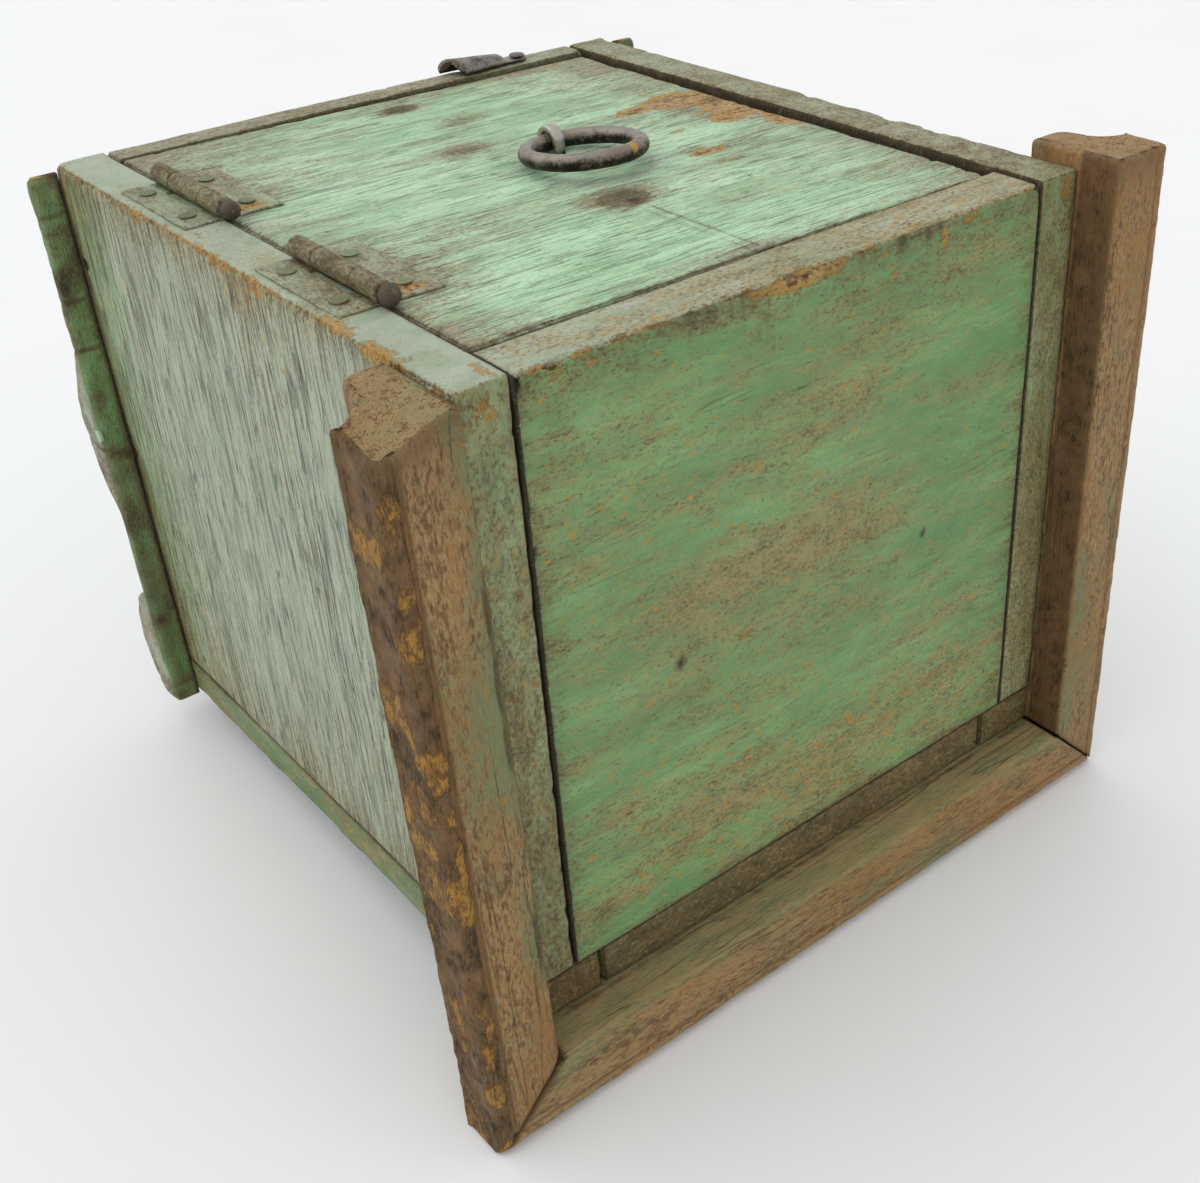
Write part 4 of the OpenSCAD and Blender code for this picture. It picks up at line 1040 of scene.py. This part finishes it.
        # Dark along the inner face and the seam with the board: dirt, and painted shade in that inside
        # corner.
        marks = {
            "bare": most(far_rim * 0.4, near_to(ending, 2.5) * 0.5, near_rim * 0.3),
            "grime_and_shade": most(near_to(out, 2.2) * 0.95, crack * 0.9, 0.3 * near_to(high, 1.5), dirt_and_shade),
            "fade": np.where(high > 1.5, 0.7, 0.0), "rub": np.where(high > 1.5, 0.55, 0.35)}
        spread = {}
        for label, values in marks.items():
            rows = values[order]
            spread[label] = np.concatenate([*[rows[0]] * len(CAP), *rows, *[rows[-1]] * len(CAP)])
        make_piece(node, skin, faces, spread, finish, "case")


class CASE_OT_lid(bpy.types.Operator):
    """Sagging lid board with its grain, scars and scribe lines"""
    bl_idname = "case.lid"
    bl_label = "Lid board"

    # Marks on the top: place across and along the case, reach in both directions, strength
    scars = ((162, 129, 14, 8, 1.1), (169, 114, 9, 18, 1.05), (161, 104, 7, 7, 0.8), (171, 92, 5, 13, 0.75),
             (148, 128, 13, 4, 0.85), (136, 83, 7, 2.6, 0.85), (143, 103, 5, 2.2, 0.42),
             (138, 117, 4, 1.6, 0.48), (158, 140, 4, 3, 0.42), (146, 78, 3, 1.4, 0.42),
             (122, 138, 4, 1.4, 0.4), (155, 112, 5, 3, 0.44))
    sores = ((95, 68, 10, 8, 1.0), (97, 181, 8, 5, 1.0))
    dirt_and_shade = ((95, 68, 9, 7, 0.45), (96, 65, 3, 1.6, 1.3), (97, 181, 7, 4, 0.5), (88, 132, 8, 6, 0.45),
            (103, 157, 10, 8, 0.4), (170, 122, 7, 6, 0.5), (26, 68, 10, 28, 0.42), (26, 146, 10, 28, 0.45))
    stains = ((95, 68, 13, 9, 1.2), (97, 181, 9, 5, 1.2), (88, 132, 12, 8, 0.8), (103, 157, 13, 10, 0.7),
              (30, 60, 16, 22, 0.6), (30, 138, 16, 22, 0.6), (165, 118, 18, 26, 0.8))
    # Two scribed lines across the lid: their places, and the middle and half of their length
    scribes, scribe_at, scribe_half = (93.2, 96.8), 40, 21
    # Pale grey arc just outside the near side of the ring: middle and radius
    swing_at, swing_r = (105, 98.1), 18.5

    def execute(self, context):
        sizes, tones = context.scene.case_sizes, context.scene.case_colours
        finish = paint_finish("paint_on_lid", "x", tones.mint, tones.fern, LINED, (3, 19, 27))
        self.low, self.high = level_span("lid_board")
        edge_wear, dent = sizes.mm("edge_wear"), sizes.mm("dent")

        def radius(p):
            chips = np.clip(rough_noise(p, 5, 113, 2) - 0.56, 0, None) * 9
            ragged = 0.15 + 0.5 * rough_noise(p, 9, 111) + chips * 0.35
            return 0.7 + near_to(self.high[2] - p[:, 2], 2) * edge_wear * ragged

        def relief(p):
            uneven = (rough_noise(p, 28, 115, 3, (2, 1, 1)) - 0.5) * dent
            return uneven - 0.35 * np.clip(self.top_spots(p, self.scars) - 0.3, 0, 0.4)

        board = Board(self.low, self.high, sizes.mm("step"), radius, relief)
        marks = self.marks(board.flat, board.edge)
        make_piece("lid_board", sagged(board.points), board.faces, marks, finish, "lid")
        return {"FINISHED"}

    def top_spots(self, p, rows):
        """Strength of marks on the top face."""
        return spots(p, face_marks(2, self.high[2], 3, rows))

    def marks(self, p, edge):
        """Wear, dirt and faded paint at the points of the lid."""
        x, y = p[:, 0], p[:, 1]
        left, near = (p - self.low).T[:2]
        right, far, top = (self.high - p).T
        on_top = near_to(top, 0.5)
        scribe = np.minimum(*(np.abs(x - at) for at in self.scribes))
        scribe = scribe + np.clip(np.abs(y - self.scribe_at) - self.scribe_half, 0, None)
        # A pale grey crescent on the near side of the ring.
        swing = np.hypot(x - self.swing_at[0], y - self.swing_at[1])
        arc = near_to(np.abs(swing - self.swing_r), 1.2) * np.clip((95 - y) / 6, 0, 1)
        bare = most(self.top_spots(p, self.scars) * on_top,
                    near_to(edge, 1.0) * (0.05 + 0.4 * rough_noise(p, 10, 118)),
                    near_to(right, 2.0) * (0.3 + 0.4 * rough_noise(p, 14, 119)), np.where(top > 2, 0.5, 0.0))
        sore = np.clip((self.top_spots(p, self.sores) - 0.42) * 5, 0, 1)
        # The side faces are darkened as dirt and also as painted shade in the gaps beside the boards; the
        # underside is dark bare wood.
        grime_and_shade = most(sore * on_top * 0.62, near_to(scribe, 0.6) * on_top * 0.8, near_to(edge, 1.1) * 0.7,
                     np.where(top > 1, 0.6, 0.0), on_top * near_to(left, 5) * 0.25,
                     on_top * near_to(near, 3) * 0.25, on_top * near_to(far, 6) * 0.3,
                     on_top * self.top_spots(p, self.dirt_and_shade))
        cloud = np.clip(rough_noise(p, 45, 121) - 0.35, 0, 1)
        fade = 0.1 + 0.3 * near_to(left, 14) + 0.9 * arc + 0.3 * cloud + 0.25 * near_to(right, 25)
        fade = np.where(top > 2, 0.6, fade)
        rub = (0.35 * rough_noise(p, 36, 123) + 0.6 * near_to(left, 16) + 0.35 * near_to(right, 22)
               + 0.45 * near_to(far, 20) + 0.3 * near_to(near, 9))
        rub = most(np.where(top > 2, 0.8, rub), self.top_spots(p, self.stains) * on_top)
        return {"bare": bare, "grime_and_shade": grime_and_shade, "fade": fade, "rub": rub, "grain": on_top}


class CASE_OT_hinges(bpy.types.Operator):
    """Two painted-over butt hinges with ball-headed pins"""
    bl_idname = "case.hinges"
    bl_label = "Hinges"

    # Length of the two outer knuckles, and the gap beside the middle one
    outer_knuckle, knuckle_gap = 11.0, 0.3

    def execute(self, context):
        sizes, tones = context.scene.case_sizes, context.scene.case_colours
        self.knuckle_r = sizes.mm("knuckle_r")
        painted = paint_finish("painted_hinge_leaf", "y", tones.fern, tones.leaf, LINED, (5, 3, 1))
        rusty = iron_finish("rusty_hinge_pin", tones.iron, tones.umber, 0.46, 0.3, (1, 2, 7))
        for side, seed in (("near", 131), ("far", 151)):
            self.leaf(side + "_hinge_fixed_leaf", -1, painted, "case", seed)
            self.leaf(side + "_hinge_lid_leaf", 1, painted, "lid", seed + 9)
            self.pin(side + "_hinge_pin", rusty, seed + 17)
        soiled = paint_finish("soiled_hinge_screws", "y", tones.lichen, tones.umber, SMEARED, (7, 1, 5))
        dress_node("hinge_screws_fixed", soiled)
        dress_node("hinge_screws_lid", soiled)
        return {"FINISHED"}

    def bar(self, start, stop, radius, seed, swell):
        """Skin of a lumpy round bar along the hinge pin, with softened ends."""
        sides = 28
        share = np.concatenate([[0, 0.015, 0.035], np.linspace(0.06, 0.94, 18), [0.965, 0.985, 1]])
        y = start + (stop - start) * share
        gap = np.minimum(y - start, stop - y)
        soft = 0.6 - np.sqrt(np.clip(0.36 - np.clip(0.6 - gap, 0, None) ** 2, 0, None))
        grid_y, turn = np.meshgrid(y, np.linspace(0, 2 * np.pi, sides, endpoint=False), indexing="ij")
        flat = np.column_stack([np.cos(turn).ravel() * radius, grid_y.ravel(), np.sin(turn).ravel() * radius])
        lump = (rough_noise(flat, 2.6, seed, 2) - 0.6) * swell
        wide = (radius - np.repeat(soft, sides) + lump).reshape(grid_y.shape)
        loops = np.stack([PIN[0] + np.cos(turn) * wide, grid_y, PIN[2] + np.sin(turn) * wide], -1)
        return skin_loops(capped(loops))

    @staticmethod
    def plate(low, high, seed):
        """Skin of a thin plate with ragged, hand-cut edges."""
        plate = Board(np.array(low), np.array(high), 0.8, lambda p: 0.3 + 0.3 * rough_noise(p, 3, seed),
                      lambda p: (rough_noise(p, 5, seed + 1) - 0.65) * 0.35)
        return plate.points, plate.faces.tolist()

    def leaf(self, node, side, finish, body, seed):
        """One leaf with its knuckles; on the lid a torn slot lies at its near end."""
        low, high = level_span(node) if body == "lid" else span(node)
        start, stop = low[1], high[1]
        edge = low[0] if side < 0 else high[0]
        inner = PIN[0] + side * (self.knuckle_r + 0.3)
        flat_low, flat_high = sorted((edge, inner))
        skins = [self.plate((flat_low, start, HEIGHT), (flat_high, stop, HEIGHT + 0.72), seed)]
        first_end, last_start = start + self.outer_knuckle, stop - self.outer_knuckle
        knuckles = [(start, first_end), (last_start, stop)]
        if side > 0:
            knuckles = [(first_end + self.knuckle_gap, last_start - self.knuckle_gap)]
        for first, last in knuckles:
            skins.append(self.bar(first, last, self.knuckle_r, seed + 3, 0.3))
            left, right = sorted((PIN[0] + side * 0.6, PIN[0] + side * 4.2))
            web = (left, first + 0.2, HEIGHT + 0.05), (right, last - 0.2, HEIGHT + 0.7)
            skins.append(self.plate(*web, seed + 5))
        points, faces = join_skins(skins)
        raised = near_to(HEIGHT + 2.2 - points[:, 2], 0.6)
        torn = spots(points, [((PIN[0] + 7, start + 4, HEIGHT + 1), (6, 2.4, 2), 1.1)]) * (side > 0)
        in_leaf = (points[:, 2] > HEIGHT + 0.3) & (points[:, 2] < HEIGHT + 1.0)
        points[:, 2] -= np.where(in_leaf, np.clip(torn - 0.2, 0, 0.7) * 0.8, 0)
        x, y = points[:, 0], points[:, 1]
        rim = near_to(np.minimum.reduce([y - start, stop - y, np.abs(x - edge)]), 0.7)
        knuckle = near_to(np.abs(x - PIN[0]) - self.knuckle_r, 0.2)
        # Darker where the plate meets the knuckle: dirt, and painted shade under the barrel.
        grime_and_shade = most(rim * 0.45, 0.5 * knuckle, 0.5 * near_to(np.abs(x - inner), 0.8),
                     0.6 * rough_noise(points, 6, seed + 2))
        marks = {"bare": most(torn * 0.9, knuckle * 0.3, 0.2 * rough_noise(points, 7, seed)),
                 "grime_and_shade": grime_and_shade * (1 - torn), "fade": 0.7 - 0.7 * knuckle, "rub": most(0.5, raised * 0.8)}
        if body == "lid":
            points = sagged(points)
        make_piece(node, points, faces, marks, finish, body)

    def pin(self, node, finish, seed):
        """Pin through the knuckles with a rough ball at its near end."""
        low, high = span(node)
        ball = self.knuckle_r - 0.08
        middle = np.array([PIN[0], low[1] + self.knuckle_r, PIN[2]])
        tilt, turn = np.meshgrid(np.radians(np.linspace(8, 172, 16)),
                                 np.linspace(0, 2 * np.pi, 28, endpoint=False), indexing="ij")
        away = np.stack([np.sin(tilt) * np.cos(turn), -np.cos(tilt), np.sin(tilt) * np.sin(turn)], -1)
        swell = rough_noise(away.reshape(-1, 3) * ball, 1.8, seed + 3, 2).reshape(tilt.shape)
        loops = middle + away * (ball * (1 + (swell - 0.65) * 0.2))[..., None]
        shank = self.bar(low[1] + 3, high[1] - 0.3, 1.25, seed, 0.04)
        points, faces = join_skins([shank, skin_loops(capped(loops))])
        marks = {"bare": 0.1, "grime_and_shade": 0.3 + 0.4 * rough_noise(points, 3, seed + 4), "fade": 0.6, "rub": 0.3}
        make_piece(node, points, faces, marks, finish, "case")


class CASE_OT_ring_pull(bpy.types.Operator):
    """Loose iron ring and the strap eye that holds it"""
    bl_idname = "case.ring_pull"
    bl_label = "Ring pull"

    # Thickness and half width of the eye's strap, and its clearance round the wire
    strap_t, strap_half, clearance = 1.8, 1.7, 0.45

    def execute(self, context):
        sizes, tones = context.scene.case_sizes, context.scene.case_colours
        self.ring_r, self.wire_r = sizes.mm("ring_r"), sizes.mm("wire_r")
        self.eye_at = turned(in_mm(JOINTS["ring_swing"]["pos_m"]), PIN, -SAG, "Y")
        self.ring(iron_finish("worn_ring_iron", tones.iron, tones.ochre, 0.0, 0.9, (8, 1, 3)))
        self.eye(iron_finish("rubbed_eye_iron", srgb(176, 172, 160), tones.ochre, 0.0, 0.9, (2, 9, 4)))
        return {"FINISHED"}

    def ring(self, finish):
        around, across = np.meshgrid(np.linspace(0, 2 * np.pi, 128, endpoint=False),
                                     np.linspace(0, 2 * np.pi, 28, endpoint=False), indexing="ij")
        out = np.stack([np.cos(across) * np.cos(around), np.cos(across) * np.sin(around), np.sin(across)], -1)
        spine = np.stack([np.cos(around), np.sin(around), 0 * around], -1) * self.ring_r
        swell = rough_noise((spine + out * self.wire_r).reshape(-1, 3), 6, 171).reshape(around.shape)
        wide = self.wire_r + (swell - 0.62) * 0.45
        loops = spine + out * wide[..., None] + self.eye_at - [0, self.ring_r, 0]
        skin, faces = skin_loops(loops, ring=True)
        # The underside is painted darker as shade, and the top lighter as polished wear and a painted
        # highlight.
        up = np.sin(across).ravel()
        scar = near_to(np.abs(around.ravel() - 5.0), 0.045) * np.clip(up + 0.8, 0, 1)
        grime_and_shade = most(0.55 * np.clip(-up, 0, 1), 0.4 * near_to(np.abs(around.ravel() - 5.35), 0.14))
        marks = {"bare": scar * 1.2, "grime_and_shade": grime_and_shade * (1 - scar), "rub": np.clip(up + 0.2, 0, 1)}
        lifted = turned(skin, self.eye_at, -RING_LIFT, "X")
        make_piece("pull_ring", sagged(lifted), faces, marks, finish, "ring")

    def eye(self, finish):
        """Strap that runs up through the lid, over the wire and down again, with clinched tails."""
        x, y, z = self.eye_at
        middle = self.wire_r + self.clearance + self.strap_t / 2
        low = level_span("ring_eye")[0]
        under, tail = low[2] + self.strap_t / 2, y - low[1] - middle
        foot = [(middle + tail * part, under) for part in (1, 0.8, 0.6, 0.4, 0.2)]
        leg = [(middle, height) for height in np.linspace(under + 0.6, z - 0.5, 9)]
        arch = [(middle * math.cos(turn), z + middle * math.sin(turn))
                for turn in np.linspace(0, math.pi, 27)]
        path = np.array(foot + leg + arch + [(-across, height) for across, height in (foot + leg)[::-1]])
        along = np.gradient(path, axis=0)
        along /= np.linalg.norm(along, axis=1, keepdims=True)
        turn = np.linspace(0, 2 * np.pi, 20, endpoint=False)
        wide = np.sign(np.cos(turn)) * np.abs(np.cos(turn)) ** 0.45 * self.strap_half
        deep = np.sign(np.sin(turn)) * np.abs(np.sin(turn)) ** 0.45 * self.strap_t / 2
        loops = np.stack([np.column_stack([x + wide, y + across + step[1] * deep, height - step[0] * deep])
                          for (across, height), step in zip(path, along)])
        skin, faces = skin_loops(capped(loops))
        buried = np.clip((HEIGHT + 2 - skin[:, 2]) / 3, 0, 1)
        marks = {"grime_and_shade": 0.5 * buried, "rub": 1 - buried}
        make_piece("ring_eye", sagged(skin), faces, marks, finish, "lid")


class CASE_OT_turn_button(bpy.types.Operator):
    """Bent sheet iron turn button on its nail"""
    bl_idname = "case.turn_button"
    bl_label = "Turn button"

    # Half widths of tail, neck and free end, length past the nail, thickness and slant of the free end
    tail_half, neck_half, end_half, reach, sheet, slant = 3.0, 3.1, 5.1, 27.0, 0.95, 25

    def execute(self, context):
        tones = context.scene.case_colours
        sheet = iron_finish("grey_sheet_iron", srgb(150, 146, 138), tones.pale, 0.1, 0.7, (6, 6, 2))
        self.nail_at = in_mm(JOINTS["button_turn"]["pos_m"])
        self.button(sheet)
        self.nail(sheet)
        return {"FINISHED"}

    def button(self, finish):
        """Flat tail under the nail that turns into an arched blade."""
        across = np.linspace(-1, 1, 25)
        tail = self.tail_half * np.cos(np.radians(np.linspace(4, 90, 12)))
        x = np.concatenate([tail, -np.linspace(0.6, self.reach, 40)])
        slant = math.tan(math.radians(self.slant))
        rows = []
        for place in x:
            half = math.sqrt(max(self.tail_half ** 2 - place ** 2, 0.01)) if place > 0 else self.tail_half
            bend = np.clip((-place - 3.5) / 4.5, 0, 1)
            bend = bend * bend * (3 - 2 * bend)
            spread = np.clip((-place - 5) / (self.reach - 5), 0, 1)
            arch = self.neck_half + (self.end_half - self.neck_half) * spread
            y = (1 - bend) * half * across + bend * arch * np.sin(across * np.pi / 2)
            z = self.sheet + bend * (arch - self.sheet) * np.cos(across * np.pi / 2)
            end = np.clip((-place - 14) / (self.reach - 14), 0, 1)
            rows.append(np.column_stack([place + end * (self.end_half - y) * slant, y, z]))
        top = np.stack(rows)
        top[..., 2] += (soft_noise(top.reshape(-1, 3), 5, 191).reshape(top.shape[:2]) - 0.5) * 0.3
        low = top * [1, 0.82, 1] - [0, 0, self.sheet]
        low[..., 2] = np.clip(low[..., 2], 0.05, None)
        loops = np.concatenate([top, low[:, ::-1]], 1) + self.nail_at + [0, 0, 0.3]
        skin, faces = skin_loops(capped(loops))
        # The underside of the sheet is painted dark as shade under the arched blade; the top is lighter.
        under = np.tile(np.repeat([0.0, 1.0], len(across)), len(x) + 2 * len(CAP))
        marks = {"grime_and_shade": under * 0.9, "rub": 0.5 - 0.5 * under}
        make_piece("turn_button", skin, faces, marks, finish, "button")

    def nail(self, finish):
        """Low round nail head over the tail, with its shank in the board."""
        low, high = span("turn_button_nail")
        head = high[2] - 0.95
        outline = [(1.15, low[2]), (1.15, head), (2.3, head + 0.02), (2.55, head + 0.3), (2.3, head + 0.65),
                   (1.5, head + 0.88), (0.6, head + 0.93)]
        sides = 24
        turn = np.linspace(0, 2 * np.pi, sides, endpoint=False)
        x, y = self.nail_at[:2]
        loops = np.stack([np.column_stack([x + r * np.cos(turn), y + r * np.sin(turn), np.full(sides, z)])
                          for r, z in outline])
        skin, faces = skin_loops(capped(loops))
        make_piece("turn_button_nail", skin, faces, {"grime_and_shade": 0.25, "rub": 0.5}, finish, "case")


class CASE_OT_nails(bpy.types.Operator):
    """Nails of the carcass, frame and trims"""
    bl_idname = "case.nails"
    bl_label = "Nails"

    def execute(self, context):
        tones = context.scene.case_colours
        finish = iron_finish("rusty_nails", tones.iron_rust, tones.olive, 0.2, 0.3, (4, 4, 4))
        for node in ("carcass_nails", "frame_nails", "moulding_nails"):
            dress_node(node, finish)
        painted = paint_finish("painted_nails", "z", tones.pale, tones.fern, LINED, (2, 7, 6))
        dress_node("crest_nails", painted)
        return {"FINISHED"}


class CASE_OT_stage(bpy.types.Operator):
    """Floor, soft light and camera"""
    bl_idname = "case.stage"
    bl_label = "Stage"

    # Camera of the photograph in the shared frame
    eye_at = (-0.22931, -0.34517, 0.32798)
    ahead = (0.5284, 0.6555, -0.5395)
    to_right = (0.7642, -0.6441, -0.0342)
    shift = (-0.0872, -0.0071)
    # Direction towards the key light
    key_from = (-0.5, 0.5, 1.0)
    # Half of the floor's side, and how far behind its near face the front moulding touches the floor
    floor_half, touch_in = 6.0, 15 * MM

    def execute(self, context):
        stage = context.scene.case_stage
        self.floor(context, stage)
        self.sky(context, stage)
        self.key(context, stage)
        self.camera(context, stage)
        return {"FINISHED"}

    def floor(self, context, stage):
        """Pale floor that touches the front moulding and the front crest."""
        touch_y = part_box("base_moulding_front")[0].y + self.touch_in
        crest_low, crest_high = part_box("crest_front")
        slope = (crest_low.z - CAD_BOX[0].z) / (crest_high.y - touch_y)
        half = self.floor_half
        corners = [(x, y, CAD_BOX[0].z + (y - touch_y) * slope)
                   for x, y in ((-half, -half), (half, -half), (half, half), (-half, half))]
        mesh = bpy.data.meshes.new("floor")
        mesh.from_pydata(corners, [], [(0, 1, 2, 3)])
        finish = Finish("pale_floor", (40, 10, 5))
        cloud = finish.noise(160, 4, 0.6)
        colour = finish.mix(stage.floor, srgb(231, 229, 225), finish.step(cloud, 0.45, 0.75) * 0.2)
        mesh.materials.append(finish.close(colour, 0.5 + cloud * 0.1, cloud, 0.05))
        floor = bpy.data.objects.new("floor", mesh)
        context.scene.collection.objects.link(floor)

    @staticmethod
    def sky(context, stage):
        """Even, nearly white light all round."""
        world = bpy.data.worlds.new("studio")
        world.use_nodes = True
        tree = world.node_tree
        tree.nodes.clear()
        light = tree.nodes.new("ShaderNodeBackground")
        light.inputs["Color"].default_value = srgb(248, 250, 253)
        light.inputs["Strength"].default_value = stage.sky
        out = tree.nodes.new("ShaderNodeOutputWorld")
        tree.links.new(light.outputs[0], out.inputs["Surface"])
        context.scene.world = world

    def key(self, context, stage):
        """Broad light from above, behind and to the left."""
        data = bpy.data.lights.new("key", "SUN")
        data.energy = stage.key
        data.angle = stage.key_spread
        lamp = bpy.data.objects.new("key", data)
        lamp.rotation_euler = Vector(self.key_from).to_track_quat("Z", "Y").to_euler()
        context.scene.collection.objects.link(lamp)

    def camera(self, context, stage):
        """Camera at the photograph's angle, for a picture of 1200 by 1183."""
        data = bpy.data.cameras.new("camera")
        data.sensor_width = 36
        data.lens = stage.lens
        data.shift_x, data.shift_y = self.shift
        data.clip_start, data.clip_end = 0.01, 50
        ahead = Vector(self.ahead).normalized()
        right = (Vector(self.to_right) - ahead * Vector(self.to_right).dot(ahead)).normalized()
        turn = Matrix((right, right.cross(ahead), -ahead)).transposed()
        camera = bpy.data.objects.new("camera", data)
        camera.matrix_world = Matrix.Translation(self.eye_at) @ turn.to_4x4()
        context.scene.collection.objects.link(camera)
        context.scene.camera = camera
        context.scene.view_settings.view_transform = "Standard"


class CASE_PT_panel(bpy.types.Panel):
    """Lists the steps that build the case"""
    bl_label = "Display case"
    bl_idname = "CASE_PT_panel"
    bl_space_type = "VIEW_3D"
    bl_region_type = "UI"
    bl_category = "Case"

    def draw(self, context):
        for step in STEPS:
            self.layout.operator(step.bl_idname)
        for group in GROUPS:
            values = getattr(context.scene, group)
            for name in values.__annotations__:
                self.layout.prop(values, name)


STEPS = (CASE_OT_boards, CASE_OT_front_frame, CASE_OT_glazing, CASE_OT_base_moulding, CASE_OT_crest,
         CASE_OT_lid, CASE_OT_hinges, CASE_OT_ring_pull, CASE_OT_turn_button, CASE_OT_nails, CASE_OT_stage)
GROUPS = {"case_sizes": CaseSizes, "case_colours": CaseColours, "case_stage": CaseStage}


def register():
    for name, group in GROUPS.items():
        bpy.utils.register_class(group)
        setattr(bpy.types.Scene, name, bpy.props.PointerProperty(type=group))
    for made in (*STEPS, CASE_PT_panel):
        bpy.utils.register_class(made)


def unregister():
    for made in (CASE_PT_panel, *reversed(STEPS)):
        bpy.utils.unregister_class(made)
    for name, group in GROUPS.items():
        delattr(bpy.types.Scene, name)
        bpy.utils.unregister_class(group)


def main():
    register()
    bpy.ops.case.boards()
    bpy.ops.case.front_frame()
    bpy.ops.case.glazing()
    bpy.ops.case.base_moulding()
    bpy.ops.case.crest()
    bpy.ops.case.lid()
    bpy.ops.case.hinges()
    bpy.ops.case.ring_pull()
    bpy.ops.case.turn_button()
    bpy.ops.case.nails()
    bpy.ops.case.stage()


if __name__ == "__main__":
    main()
